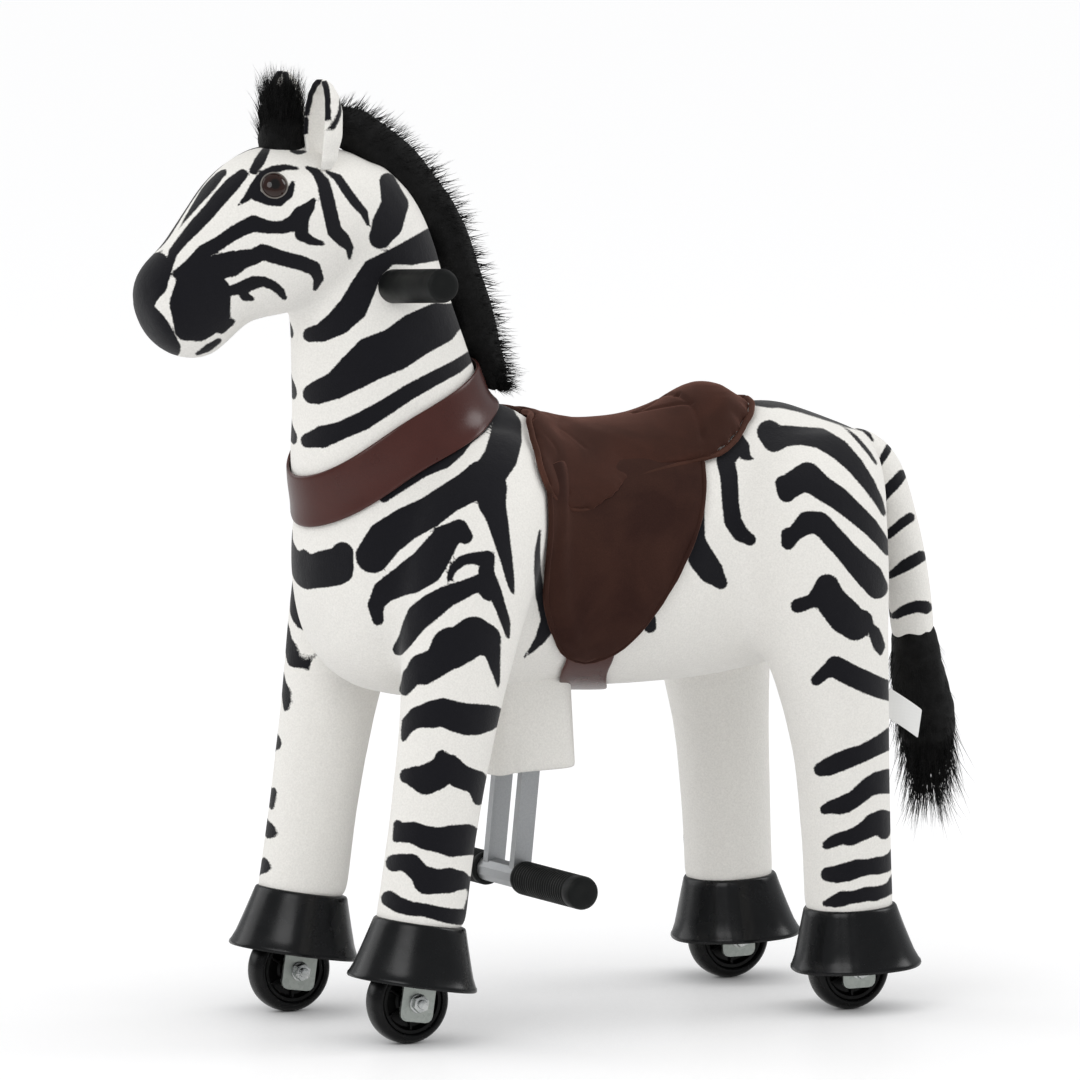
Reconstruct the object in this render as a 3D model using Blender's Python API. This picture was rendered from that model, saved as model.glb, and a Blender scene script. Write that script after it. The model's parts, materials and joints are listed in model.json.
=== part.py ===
"""A plush ride-on zebra on four wheels, whose legs close like scissors as the rider bounces.

Metres, +Z up. The animal faces -Y and its left side is at +X. The origin is on the floor, under the middle of
the whole animal. A chassis carries the trunk, the saddle and the hind legs. The front frame carries the chest,
the forelegs and the head tube, and swings on one bolt across the trunk. A pedal hanger hangs on a second bolt,
and two links make it follow the front frame as a parallelogram. The handlebar turns the neck, and a tie
rod turns the front forks with it.
"""

import math

import bmesh
import bpy
from mathutils import Matrix, Vector

# Places of the main lines, with "back" measured from the front axle and heights from the floor.
FRONT_AXLE_Y = -0.187
WHEELBASE = 0.410
TRACK = 0.206

# Gaps that real assembly leaves, and how far a cutter runs past what it cuts.
SEAT_GAP = 0.0003
PLUSH_GAP = 0.0006
RUNNING_GAP = 0.0010
OVERRUN = 0.012

# Wheels: a cast urethane tyre on a nylon core that turns on an axle bolt.
WHEEL_RADIUS = 0.035
WHEEL_WIDTH = 0.024
TREAD_FLAT = 0.009
CORE_RADIUS = 0.0262
CORE_WIDTH = 0.019
CORE_BOSS_RADIUS = 0.0115
CORE_BOSS_WIDTH = 0.031
CORE_HOLE_RADIUS = 0.0019
CORE_HOLES = 6
WHEEL_SEGMENTS = 20
CORE_SEGMENTS = 14
AXLE_RADIUS = 0.004
AXLE_WASHER_RADIUS = 0.0078
AXLE_WASHER_THICKNESS = 0.0014
AXLE_NUT_RADIUS = 0.0068
AXLE_NUT_THICKNESS = 0.0052

# Forks: a folded steel strap on a stem.
FORK_STRAP_WIDTH = 0.030
FORK_STRAP_THICKNESS = 0.0025
FORK_INSIDE = 0.0335
FORK_BELOW_AXLE = 0.0155
FORK_CROWN_HEIGHT = 0.079
FORK_CORNER = 0.006
STEM_RADIUS = 0.0095

# Leg tubes, the slope of the forelegs and the height of the cross tubes.
LEG_TUBE_RADIUS = 0.0135
LEG_TUBE_WALL = 0.0030
FORELEG_SLOPE = math.radians(8.4)
SHOULDER_HEIGHT = 0.392
HIP_BACK = WHEELBASE
HIP_HEIGHT = 0.400
CROSS_TUBE_RADIUS = 0.0125

# Two main bolts: the one that the front frame swings on, and the one that the pedal hanger hangs on.
SWING_BACK = 0.230
SWING_HEIGHT = 0.400
HANGER_BACK = 0.330
HANGER_HEIGHT = 0.305
CRANK_REACH = 0.050
MAIN_BOLT_RADIUS = 0.006
BOLT_HEAD_RADIUS = 0.0095
BOLT_HEAD_THICKNESS = 0.0055
HUB_RADIUS = 0.015
SPINE_WIDTH = 0.025
SPINE_DEPTH = 0.030
SWING_CLOSING = math.radians(8)

# Flat bars that lie side by side across the bolts, from the middle outwards.
HANGER_BAR_WIDTH = 0.016
HANGER_BAR_THICKNESS = 0.008
HANGER_BAR_OFFSET = 0.0185
LINK_THICKNESS = 0.004
SWING_PLATE_THICKNESS = 0.005
SWING_PLATE_WIDTH = 0.028

# Pedals: a cross tube under the hanger with a rubber grip on each end.
PEDAL_BACK = 0.147
PEDAL_HEIGHT = 0.117
HANGER_SLOPE = math.radians(6)
HANGER_CORNER_HEIGHT = 0.328
PEDAL_TUBE_RADIUS = 0.0105
PEDAL_REACH = 0.134
GRIP_RADIUS = 0.0138
GRIP_RIB = 0.0012
GRIP_FLANGE_RADIUS = 0.0185
GRIP_FLANGE_THICKNESS = 0.004
PEDAL_GRIP_LENGTH = 0.103
HAND_GRIP_LENGTH = 0.090
GRIP_RIBS = 6
GRIP_SIDES = 10

# Steering: the column leans forward, and the neck turns with it above a flat cut.
COLUMN_BACK = 0.041
COLUMN_HEIGHT = 0.483
COLUMN_LEAN = math.radians(12)
COLUMN_RADIUS = 0.0125
HEAD_TUBE_RADIUS = 0.0175
HEAD_TUBE_LENGTH = 0.066
NECK_CUT_HEIGHT = 0.522
HANDLEBAR_HEIGHT = 0.609
HANDLEBAR_RADIUS = 0.009
HANDLEBAR_SPAN = 0.282
HANDLEBAR_RISE = math.radians(6.6)
STEER_ARM = 0.034
STEER_LOCK = math.radians(25)
STEER_PLATE_THICKNESS = 0.004
STEER_EYE_RADIUS = 0.008
STEER_PIN_RADIUS = 0.0025
STEER_PIN_SLACK = 0.003
TIE_ROD_RADIUS = 0.004
TIE_ROD_HEIGHT = 0.420
TIE_ROD_LIFT = 0.005

# Trunk and chest, cut from one plush form.
TRUNK_FRONT_BACK = -0.042
TRUNK_LENGTH = 0.527
BELLY_HEIGHT = 0.268
TRUNK_DEPTH = 0.240
TRUNK_WIDTH = 0.196
SPLIT_BACK = 0.112
SPLIT_LEAN = math.radians(-10)
SPLIT_GAP = 0.004
WEDGE_SHARE = 0.85

# Limbs, neck and head.
FORELEG_RADIUS = 0.035
HINDLEG_RADIUS = 0.039
HOOF_HEIGHT = 0.049
HOOF_WALL = 0.003
HOOF_SIDES = 18
HOOF_FOOT_RADIUS = 0.0535
FORE_HOOF_TOP_RADIUS = 0.0385
HIND_HOOF_TOP_RADIUS = 0.0415
FORE_HOOF_BOTTOM = 0.051
HIND_HOOF_BOTTOM = 0.036
NECK_HALF_WIDTH = 0.066
NECK_HALF_DEPTH = 0.081
NECK_LENGTH = 0.150
HEAD_BACK = -0.020
HEAD_HEIGHT = 0.665
HEAD_LENGTH = 0.245
HEAD_HALF_DEPTH = 0.064
HEAD_HALF_WIDTH = 0.056
HEAD_DIP = math.radians(21.2)
EYE_RADIUS = 0.0105
EAR_LENGTH = 0.074
EAR_WIDTH = 0.036
EAR_DEPTH = 0.020
MANE_HALF_WIDTH = 0.017
MANE_HALF_DEPTH = 0.026
FORELOCK_RADIUS = 0.022
TAIL_RADIUS = 0.0185
TUFT_RADIUS = 0.029

# Tack: collar band, saddle, flaps and girth tabs.
TACK_THICKNESS = 0.003
COLLAR_WIDTH = 0.040
COLLAR_BACK = 0.041
COLLAR_HEIGHT = 0.477
COLLAR_TILT = math.radians(26)
SEAT_FRONT_BACK = 0.138
SEAT_LENGTH = 0.226
SEAT_HALF_WIDTH = 0.078
SEAT_BOTTOM = 0.424
SEAT_RISE = 0.100
SEAT_THICKNESS = 0.009
CANTLE_BACK = 0.330
CANTLE_HALF_LENGTH = 0.036
CANTLE_HALF_WIDTH = 0.056
CANTLE_RISE = 0.024
FLAP_FRONT_BACK = 0.124
FLAP_LENGTH = 0.165
FLAP_BOTTOM = 0.306
FLAP_DEPTH = 0.150
GIRTH_WIDTH = 0.046
GIRTH_BACK = 0.178
GIRTH_DROP = 0.030

# The plush sleeve that hides where the hanger comes out of the belly.
SLEEVE_BACK = 0.150
SLEEVE_HALF_WIDTH = 0.050
SLEEVE_HALF_LENGTH = 0.036
SLEEVE_WALL = 0.004
SLEEVE_BOTTOM = 0.206

# The hollow inside the plush, around the frames.
HOLLOW_HALF_WIDTH = 0.046
HOLLOW_TOP = 0.436
HOLLOW_BOTTOM = 0.286
HOLLOW_END_BACK = 0.392

ROUND = 10
SOFT_ROUND = 14


# Helpers for places, materials and finished objects.


def at(back, height, side=0.0):
    """A point by its distance behind the front axle, its height and its distance to the animal's left."""
    return Vector((side, FRONT_AXLE_Y + back, height))


def clear_scene():
    for obj in list(bpy.data.objects):
        bpy.data.objects.remove(obj)


def new_collection(name):
    collection = bpy.data.collections.new(name)
    bpy.context.scene.collection.children.link(collection)
    return collection


clear_scene()
PARTS = new_collection("plush_ride_on_zebra")
CUTTERS = new_collection("cutters")


def material(name, hex_colour, roughness, metallic=0.0):
    """A Principled material from an sRGB hex colour."""
    made = bpy.data.materials.new(name)
    made.use_nodes = True
    channels = [int(hex_colour[i : i + 2], 16) / 255 for i in (0, 2, 4)]
    linear = [c / 12.92 if c <= 0.04045 else ((c + 0.055) / 1.055) ** 2.4 for c in channels]
    shader = made.node_tree.nodes["Principled BSDF"]
    shader.inputs["Base Color"].default_value = (*linear, 1.0)
    shader.inputs["Roughness"].default_value = roughness
    shader.inputs["Metallic"].default_value = metallic
    made.diffuse_color = (*linear, 1.0)
    return made


MATERIALS = {
    "plush": ("F4F2EE", 0.95, 0.0),
    "black_fur": ("141316", 0.95, 0.0),
    "suede": ("4A2318", 0.90, 0.0),
    "leatherette": ("6E2F22", 0.45, 0.0),
    "hoof_vinyl": ("232327", 0.35, 0.0),
    "steel": ("B9BDC2", 0.35, 1.0),
    "rubber": ("1C1D1F", 0.60, 0.0),
    "urethane": ("16171A", 0.30, 0.0),
    "nylon": ("202226", 0.50, 0.0),
    "glass_eye": ("2A1710", 0.08, 0.0),
    "label": ("EFEFEC", 0.80, 0.0),
}


def object_from(bm, name, kind, parent=None):
    """Turns a bmesh into a part of its own, shaded smooth, with its own material."""
    bmesh.ops.remove_doubles(bm, verts=bm.verts, dist=1e-6)
    bmesh.ops.recalc_face_normals(bm, faces=bm.faces)
    mesh = bpy.data.meshes.new(name)
    bm.to_mesh(mesh)
    bm.free()
    obj = bpy.data.objects.new(name, mesh)
    colour, roughness, metallic = MATERIALS[kind]
    mesh.materials.append(material(name + "_" + kind, colour, roughness, metallic))
    mesh.shade_smooth()
    mesh.set_sharp_from_angle(angle=math.radians(35))
    PARTS.objects.link(obj)
    if parent is not None:
        obj.parent = parent
        obj.matrix_parent_inverse = parent.matrix_world.inverted()
    return obj


def cutter_from(bm, name):
    """Turns a bmesh into a hidden cutter."""
    bmesh.ops.recalc_face_normals(bm, faces=bm.faces)
    mesh = bpy.data.meshes.new(name)
    bm.to_mesh(mesh)
    bm.free()
    obj = bpy.data.objects.new(name, mesh)
    obj.hide_render = True
    obj.display_type = "WIRE"
    CUTTERS.objects.link(obj)
    return obj


def boolean(obj, other, operation="DIFFERENCE"):
    modifier = obj.modifiers.new(operation.lower(), "BOOLEAN")
    modifier.operation = operation
    modifier.object = other
    return modifier


def joint_axis(name, place, axis=(1, 0, 0)):
    """An empty on a joint's axis, with its Z along it, that the moving pieces hang from."""
    empty = bpy.data.objects.new(name, None)
    empty.empty_display_size = HUB_RADIUS
    empty.matrix_world = Matrix.Translation(place) @ Vector(axis).to_track_quat("Z", "Y").to_matrix().to_4x4()
    PARTS.objects.link(empty)
    bpy.context.view_layer.update()
    return empty


# Builders for the shapes that come up again and again.


def turn_to(direction):
    """The rotation that takes +Z to a direction."""
    return Vector(direction).to_track_quat("Z", "Y").to_matrix().to_4x4()


def add_rod(bm, start, end, radius, segments=ROUND, end_radius=None):
    """A closed round bar between two points."""
    start, end = Vector(start), Vector(end)
    along = end - start
    place = Matrix.Translation((start + end) / 2) @ turn_to(along)
    bmesh.ops.create_cone(
        bm,
        cap_ends=True,
        segments=segments,
        radius1=radius,
        radius2=radius if end_radius is None else end_radius,
        depth=along.length,
        matrix=place,
    )


def rod(start, end, radius, segments=ROUND, end_radius=None):
    bm = bmesh.new()
    add_rod(bm, start, end, radius, segments, end_radius)
    return bm


def box(low, high):
    """A box between its lowest and highest corners."""
    low, high = Vector(low), Vector(high)
    bm = bmesh.new()
    size = high - low
    bmesh.ops.create_cube(bm, size=1.0, matrix=Matrix.Translation((low + high) / 2) @ Matrix.Diagonal((*size, 1.0)))
    return bm


def turned(profile, segments, place):
    """A profile of (radius, height) points, turned about Z, then put in place."""
    bm = bmesh.new()
    rings = []
    for radius, height in profile:
        ring = [
            bm.verts.new((radius * math.cos(turn), radius * math.sin(turn), height))
            for turn in (2 * math.pi * (i + 0.5) / segments for i in range(segments))
        ]
        rings.append(ring)
    closed = profile[0] == profile[-1]
    if closed:
        for vert in rings[-1]:
            bm.verts.remove(vert)
        rings[-1] = rings[0]
    for lower, upper in zip(rings, rings[1:]):
        for i in range(segments):
            j = (i + 1) % segments
            bm.faces.new((lower[i], lower[j], upper[j], upper[i]))
    if not closed:
        bm.faces.new(rings[0])
        bm.faces.new(rings[-1])
    bmesh.ops.transform(bm, matrix=place, verts=bm.verts)
    return bm


def outline_plate(points, low_side, high_side):
    """A flat outline of (back, height) points, as thick as the two sides are apart."""
    bm = bmesh.new()
    verts = [bm.verts.new(at(back, height, low_side)) for back, height in points]
    face = bm.faces.new(verts)
    moved = bmesh.ops.extrude_face_region(bm, geom=[face])
    raised = [item for item in moved["geom"] if isinstance(item, bmesh.types.BMVert)]
    bmesh.ops.translate(bm, verts=raised, vec=(high_side - low_side, 0.0, 0.0))
    return bm


def bar_outline(path, half_width, end_steps=6):
    """The outline of a flat bar along a path of (back, height) points, with round ends."""
    points = [Vector(p) for p in path]
    left, right = [], []
    for i, point in enumerate(points):
        before = (point - points[i - 1]).normalized() if i else (points[1] - point).normalized()
        after = (points[i + 1] - point).normalized() if i + 1 < len(points) else before
        along = (before + after).normalized()
        normal = Vector((-along.y, along.x))
        reach = half_width / max(0.5, normal.dot(Vector((-before.y, before.x))))
        left.append(point + normal * reach)
        right.append(point - normal * reach)
    first = (points[1] - points[0]).normalized()
    last = (points[-1] - points[-2]).normalized()

    def cap(centre, facing):
        start = math.atan2(facing.y, facing.x) + math.pi / 2
        turns = [start - math.pi * k / end_steps for k in range(end_steps + 1)]
        return [centre + half_width * Vector((math.cos(t), math.sin(t))) for t in turns]

    outline = left[1:-1] + cap(points[-1], last) + right[1:-1][::-1] + cap(points[0], -first)
    return [tuple(p) for p in outline]


def spline(values, count):
    """Reads a smooth curve through rows of numbers at evenly spaced steps."""
    rows = [list(map(float, row)) for row in values]
    last = len(rows) - 1
    read = []
    for k in range(count):
        place = last * k / (count - 1)
        i = min(int(place), last - 1)
        t = place - i
        p0, p1, p2, p3 = rows[max(i - 1, 0)], rows[i], rows[i + 1], rows[min(i + 2, last)]
        read.append([
            0.5 * (2 * b + (c - a) * t + (2 * a - 5 * b + 4 * c - d) * t**2 + (3 * b - a - 3 * c + d) * t**3)
            for a, b, c, d in zip(p0, p1, p2, p3)
        ])
    return read


def soft_loft(stations, rings, around, power=2.0, swell=0.0, lean=None):
    """A closed plush form through rows of (back, height, half width, half depth), square to its own path.

    lean gives every section one direction instead, as (back, height). swell makes the form that much larger.
    """
    read = spline(stations, rings)
    bm = bmesh.new()
    loops = []
    for i, (back, height, half_width, half_depth) in enumerate(read):
        before, after = read[max(i - 1, 0)], read[min(i + 1, rings - 1)]
        along = Vector((after[0] - before[0], after[1] - before[1])).normalized() if lean is None else Vector(lean)
        grow = -swell if i == 0 else swell if i == rings - 1 else 0.0
        centre = Vector((back, height)) + along * grow
        up = Vector((-along.y, along.x))
        loop = []
        for k in range(around):
            turn = 2 * math.pi * (k + 0.5) / around
            c, s = math.cos(turn), math.sin(turn)
            side = math.copysign(abs(c) ** (2 / power), c) * (half_width + swell)
            rise = math.copysign(abs(s) ** (2 / power), s) * (half_depth + swell)
            loop.append(bm.verts.new(at(centre.x + up.x * rise, centre.y + up.y * rise, side)))
        loops.append(loop)
    for one, two in zip(loops, loops[1:]):
        for k in range(around):
            j = (k + 1) % around
            bm.faces.new((one[k], one[j], two[j], two[k]))
    bm.faces.new(loops[0])
    bm.faces.new(loops[-1])
    return bm


# The soft forms. Each takes a swell, so that a slightly larger copy can cut its neighbours.

# back, middle height, half width and half depth, as shares of the trunk's length, depth and half width.
TRUNK_SHARES = (
    (0.000, 0.50, 0.20, 0.14),
    (0.035, 0.48, 0.62, 0.33),
    (0.110, 0.47, 0.84, 0.42),
    (0.200, 0.49, 0.94, 0.485),
    (0.300, 0.495, 0.99, 0.500),
    (0.400, 0.47, 1.00, 0.465),
    (0.520, 0.435, 1.00, 0.420),
    (0.680, 0.455, 1.00, 0.430),
    (0.820, 0.500, 0.98, 0.440),
    (0.910, 0.520, 0.88, 0.395),
    (0.970, 0.560, 0.62, 0.290),
    (1.000, 0.580, 0.28, 0.150),
)
NECK_BASE_SHARES = ((-0.75, 1.20, 1.02), (-0.45, 1.16, 1.06), (-0.20, 1.06, 1.04), (0.0, 1.0, 1.0))
NECK_SHARES = ((0.0, 1.0, 1.0, 0.0), (0.25, 0.93, 0.94, 0.0), (0.55, 0.82, 0.86, -0.02), (0.85, 0.74, 0.78, -0.05), (1.0, 0.66, 0.66, -0.06))
# along, rise of the middle, half depth and half width, as shares of the head's length and half sizes.
HEAD_SHARES = (
    (-0.235, 0.00, 0.22, 0.22),
    (-0.200, 0.00, 0.46, 0.48),
    (-0.120, 0.00, 0.76, 0.76),
    (0.000, 0.02, 0.94, 0.95),
    (0.143, 0.03, 1.02, 1.00),
    (0.290, 0.04, 1.00, 0.93),
    (0.430, 0.03, 0.92, 0.78),
    (0.560, -0.03, 0.76, 0.68),
    (0.660, -0.06, 0.64, 0.66),
    (0.735, -0.05, 0.44, 0.52),
    (0.775, -0.04, 0.20, 0.26),
)
FORELEG_SHARES = ((0.00, 1.00, 1.00, 0.00), (0.35, 1.00, 1.00, 0.00), (0.58, 1.06, 1.10, 0.02), (0.76, 1.18, 1.36, 0.06), (0.91, 1.10, 1.42, 0.08), (1.00, 0.70, 0.86, 0.06))
HINDLEG_SHARES = (
    (0.00, 1.00, 1.00, 0.000), (0.30, 1.00, 1.03, 0.000), (0.44, 1.07, 1.22, 0.008), (0.58, 1.17, 1.52, 0.018),
    (0.72, 1.22, 1.83, 0.023), (0.85, 1.18, 1.88, 0.023), (0.95, 0.97, 1.58, 0.016), (1.00, 0.50, 0.85, 0.005),
)
MANE_SHARES = ((-0.06, 1.02, 0.35), (0.02, 1.00, 0.75), (0.20, 0.90, 1.00), (0.45, 0.62, 1.08), (0.65, 0.36, 1.05), (0.85, 0.12, 1.00), (1.00, -0.01, 0.72), (1.03, -0.06, 0.34))
TAIL_SHARES = ((0.00, 1.00, 0.75), (0.22, 0.96, 0.95), (0.46, 0.76, 0.95), (0.76, 0.36, 1.00), (0.92, 0.10, 1.05), (1.00, 0.00, 1.00))
TUFT_SHARES = ((0.00, 1.00, 0.62), (-0.02, 0.86, 0.92), (0.05, 0.55, 1.00), (-0.04, 0.25, 0.92), (-0.12, 0.05, 0.45), (-0.14, 0.00, 0.15))
EAR_SHARES = ((0.00, 0.55, 0.9), (0.25, 0.95, 1.0), (0.55, 1.00, 0.85), (0.82, 0.66, 0.6), (1.00, 0.12, 0.25))
MANE_RUN = 0.150
MANE_FALL = 0.240
MANE_TOP_BACK = 0.004
MANE_BOTTOM_HEIGHT = 0.527
TAIL_ROOT_BACK = 0.470
TAIL_ROOT_HEIGHT = 0.457
TAIL_RUN = 0.072
TAIL_FALL = 0.168
TUFT_FALL = 0.146
EAR_SIDE = 0.034
EAR_BACK = -0.034
EAR_FOOT_HEIGHT = 0.712
EAR_SPREAD = math.radians(10)
EYE_ALONG = 0.054
EYE_RISE = 0.052


def trunk(swell=0.0):
    rows = [
        (TRUNK_FRONT_BACK + b * TRUNK_LENGTH, BELLY_HEIGHT + h * TRUNK_DEPTH, w * TRUNK_WIDTH / 2, d * TRUNK_DEPTH)
        for b, h, w, d in TRUNK_SHARES
    ]
    return soft_loft(rows, 15, SOFT_ROUND + 4, 2.3, swell, lean=(1.0, 0.0))


def column_point(height):
    """The point of the steering axis at a height."""
    return at(COLUMN_BACK - (height - COLUMN_HEIGHT) * math.tan(COLUMN_LEAN), height)


def column_row(share, length, half_width, half_depth, shift=0.0):
    """A row of a loft at a share of a length above the neck's cut, along the steering axis."""
    up = share * length
    foot = column_point(NECK_CUT_HEIGHT)
    back = foot.y - FRONT_AXLE_Y - up * math.sin(COLUMN_LEAN) + shift
    return (back, foot.z + up * math.cos(COLUMN_LEAN), half_width, half_depth)


COLUMN_AXIS = (0.0, -math.sin(COLUMN_LEAN), math.cos(COLUMN_LEAN))


def neck_base(swell=0.0):
    rows = [column_row(s, NECK_LENGTH, w * NECK_HALF_WIDTH, d * NECK_HALF_DEPTH) for s, w, d in NECK_BASE_SHARES]
    return soft_loft(rows, 6, SOFT_ROUND, 2.0, swell, lean=COLUMN_AXIS[1:])


def neck(swell=0.0):
    rows = [
        column_row(s, NECK_LENGTH, w * NECK_HALF_WIDTH, d * NECK_HALF_DEPTH, shift * NECK_LENGTH)
        for s, w, d, shift in NECK_SHARES
    ]
    rows = [(b - RUNNING_GAP * COLUMN_AXIS[1], h + RUNNING_GAP, w, d) for b, h, w, d in rows]
    return soft_loft(rows, 9, SOFT_ROUND, 2.0, swell, lean=COLUMN_AXIS[1:])


def head(swell=0.0):
    forward = Vector((-math.cos(HEAD_DIP), -math.sin(HEAD_DIP)))
    upward = Vector((forward.y, -forward.x))
    rows = []
    for s, rise, d, w in HEAD_SHARES:
        centre = Vector((HEAD_BACK, HEAD_HEIGHT)) + forward * s * HEAD_LENGTH + upward * rise * HEAD_HALF_DEPTH
        rows.append((centre.x, centre.y, w * HEAD_HALF_WIDTH, d * HEAD_HALF_DEPTH))
    return soft_loft(rows, 14, SOFT_ROUND + 2, 2.25, swell, lean=tuple(forward))


def foreleg_back(height):
    """How far behind the axle the middle of a foreleg is at a height."""
    return (height - WHEEL_RADIUS) * math.tan(FORELEG_SLOPE)


FORELEG_FOOT = FORE_HOOF_BOTTOM + HOOF_HEIGHT + SEAT_GAP
FORELEG_TOP = 0.466
HINDLEG_FOOT = HIND_HOOF_BOTTOM + HOOF_HEIGHT + SEAT_GAP
HINDLEG_TOP = 0.472
HIP_INSET = 0.040
HIP_START_SHARE = 0.45
HINDLEG_BACK = 0.406


def leg_rows(shares, foot, top, radius, back_of):
    rows = []
    for s, w, d, shift in shares:
        height = foot + s * (top - foot)
        rows.append((back_of(height) + shift * (top - foot), height, w * radius, d * radius))
    return rows


def shifted(bm, side):
    bmesh.ops.translate(bm, verts=bm.verts, vec=(side, 0.0, 0.0))
    return bm


def foreleg(side):
    rows = leg_rows(FORELEG_SHARES, FORELEG_FOOT, FORELEG_TOP, FORELEG_RADIUS, foreleg_back)
    lean = (math.sin(FORELEG_SLOPE), math.cos(FORELEG_SLOPE))
    return shifted(soft_loft(rows, 10, SOFT_ROUND, 2.0, 0.0, lean), side * TRACK / 2)


def hindleg(side):
    rows = leg_rows(HINDLEG_SHARES, HINDLEG_FOOT, HINDLEG_TOP, HINDLEG_RADIUS, lambda height: HINDLEG_BACK)
    bm = shifted(soft_loft(rows, 12, SOFT_ROUND, 2.0, 0.0, (0.0, 1.0)), side * TRACK / 2)
    for vert in bm.verts:
        share = (vert.co.z - HINDLEG_FOOT) / (HINDLEG_TOP - HINDLEG_FOOT)
        above = max(0.0, share - HIP_START_SHARE) / (1 - HIP_START_SHARE)
        vert.co.x -= side * HIP_INSET * above ** 2
    return bm


# Joint axes first, because the moving pieces hang from them.

SWING = joint_axis("swing_axis", at(SWING_BACK, SWING_HEIGHT))
HANGER = joint_axis("hanger_axis", at(HANGER_BACK, HANGER_HEIGHT))
LINK = joint_axis("link_axis", at(HANGER_BACK + CRANK_REACH, HANGER_HEIGHT))
COLUMN = joint_axis("column_axis", column_point(COLUMN_HEIGHT), COLUMN_AXIS)
KING_AXIS = (0.0, math.sin(FORELEG_SLOPE), math.cos(FORELEG_SLOPE))
SIDES = (("left", 1), ("right", -1))
KING_PINS = {name: joint_axis(f"fork_axis_{name}", at(0.0, WHEEL_RADIUS, side * TRACK / 2), KING_AXIS) for name, side in SIDES}
TIE_PIN = joint_axis("tie_rod_axis", column_point(TIE_ROD_HEIGHT) + Vector((0, STEER_ARM, 0)), COLUMN_AXIS)
AXLES = {}
for end, back in (("front", 0.0), ("rear", WHEELBASE)):
    for name, side in SIDES:
        AXLES[end, name] = joint_axis(f"{end}_axle_{name}", at(back, WHEEL_RADIUS, side * TRACK / 2))


# Wheels and forks.

APOTHEM_SHARE = math.cos(math.pi / WHEEL_SEGMENTS)
ROUND_APOTHEM = math.cos(math.pi / ROUND)


def wheel_place(end, name):
    """Turns a profile about Z into one about X, with a flat facet on the floor."""
    return AXLES[end, name].matrix_world @ Matrix.Rotation(math.pi / 2, 4, "Z")


def make_tyre(end, name):
    outer, half = WHEEL_RADIUS / APOTHEM_SHARE, WHEEL_WIDTH / 2
    bore = CORE_RADIUS + SEAT_GAP / APOTHEM_SHARE + SEAT_GAP
    tread_shares = ((0.0, 0.0), (0.20, 0.65), (0.62, 1.0))
    slope = half - TREAD_FLAT / 2
    drop = outer - bore
    upper = [(outer - d * drop, TREAD_FLAT / 2 + w * slope) for d, w in tread_shares] + [(bore, half)]
    profile = [(r, -h) for r, h in reversed(upper)] + upper
    profile.append(profile[0])
    bm = turned(profile, WHEEL_SEGMENTS, wheel_place(end, name))
    return object_from(bm, f"{end}_{name}_tyre", "urethane", AXLES[end, name])


def make_core(end, name):
    half, boss = CORE_WIDTH / 2, CORE_BOSS_WIDTH / 2
    hole = AXLE_RADIUS + SEAT_GAP
    rim_share = 0.9
    web_share = 0.55
    ring = CORE_RADIUS * rim_share
    profile = [
        (hole, boss), (CORE_BOSS_RADIUS, boss), (CORE_BOSS_RADIUS, half * web_share),
        (ring, half * web_share), (CORE_RADIUS, half),
    ]
    profile = [(r, -h) for r, h in profile] + profile[::-1]
    profile.append(profile[0])
    obj = object_from(turned(profile, CORE_SEGMENTS, wheel_place(end, name)), f"{end}_{name}_wheel_core", "nylon", AXLES[end, name])
    place = wheel_place(end, name)
    holes = bmesh.new()
    for k in range(CORE_HOLES):
        spot = place @ Matrix.Rotation(2 * math.pi * k / CORE_HOLES, 4, "Z") @ Matrix.Translation(((CORE_BOSS_RADIUS + ring) / 2, 0, 0))
        bmesh.ops.create_cone(holes, cap_ends=True, segments=6, radius1=CORE_HOLE_RADIUS, radius2=CORE_HOLE_RADIUS, depth=CORE_WIDTH + OVERRUN, matrix=spot)
    boolean(obj, cutter_from(holes, f"{end}_{name}_core_holes"))


def make_axle_bolt(end, name):
    """A bolt through the fork and the core, with a washer and a nut or head against each strap, as one piece."""
    place = wheel_place(end, name)
    face = FORK_INSIDE / 2 + FORK_STRAP_THICKNESS + SEAT_GAP
    washer = face + AXLE_WASHER_THICKNESS
    bm = bmesh.new()
    add_rod(bm, (0, 0, -washer), (0, 0, washer), AXLE_RADIUS, 12)
    bmesh.ops.transform(bm, matrix=place, verts=bm.verts)
    obj = object_from(bm, f"{end}_{name}_axle_bolt", "steel", None)
    for sign in (-1, 1):
        ends = bmesh.new()
        add_rod(ends, (0, 0, sign * face), (0, 0, sign * washer), AXLE_WASHER_RADIUS, 12)
        bmesh.ops.transform(ends, matrix=place, verts=ends.verts)
        boolean(obj, cutter_from(ends, f"{end}_{name}_washer{sign}"), "UNION")
        nut = bmesh.new()
        add_rod(nut, (0, 0, sign * (face + AXLE_WASHER_THICKNESS / 2)), (0, 0, sign * (washer + AXLE_NUT_THICKNESS)), AXLE_NUT_RADIUS, 6)
        bmesh.ops.transform(nut, matrix=place, verts=nut.verts)
        boolean(obj, cutter_from(nut, f"{end}_{name}_nut{sign}"), "UNION")
    return obj


def strap_profile():
    """The side of a fork strap in the wheel's plane, as (back, height) from the axle, with round lower corners."""
    half, bottom = FORK_STRAP_WIDTH / 2, -FORK_BELOW_AXLE
    top = FORK_CROWN_HEIGHT - WHEEL_RADIUS
    points = [(-half, top), (-half, bottom + FORK_CORNER)]
    points += [(-half + FORK_CORNER * (1 - math.cos(t)), bottom + FORK_CORNER * (1 - math.sin(t))) for t in (math.pi / 6, math.pi / 3, math.pi / 2)]
    points += [(-b, h) for b, h in reversed(points[2:])] + [(half, bottom + FORK_CORNER), (half, top)]
    return points


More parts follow.
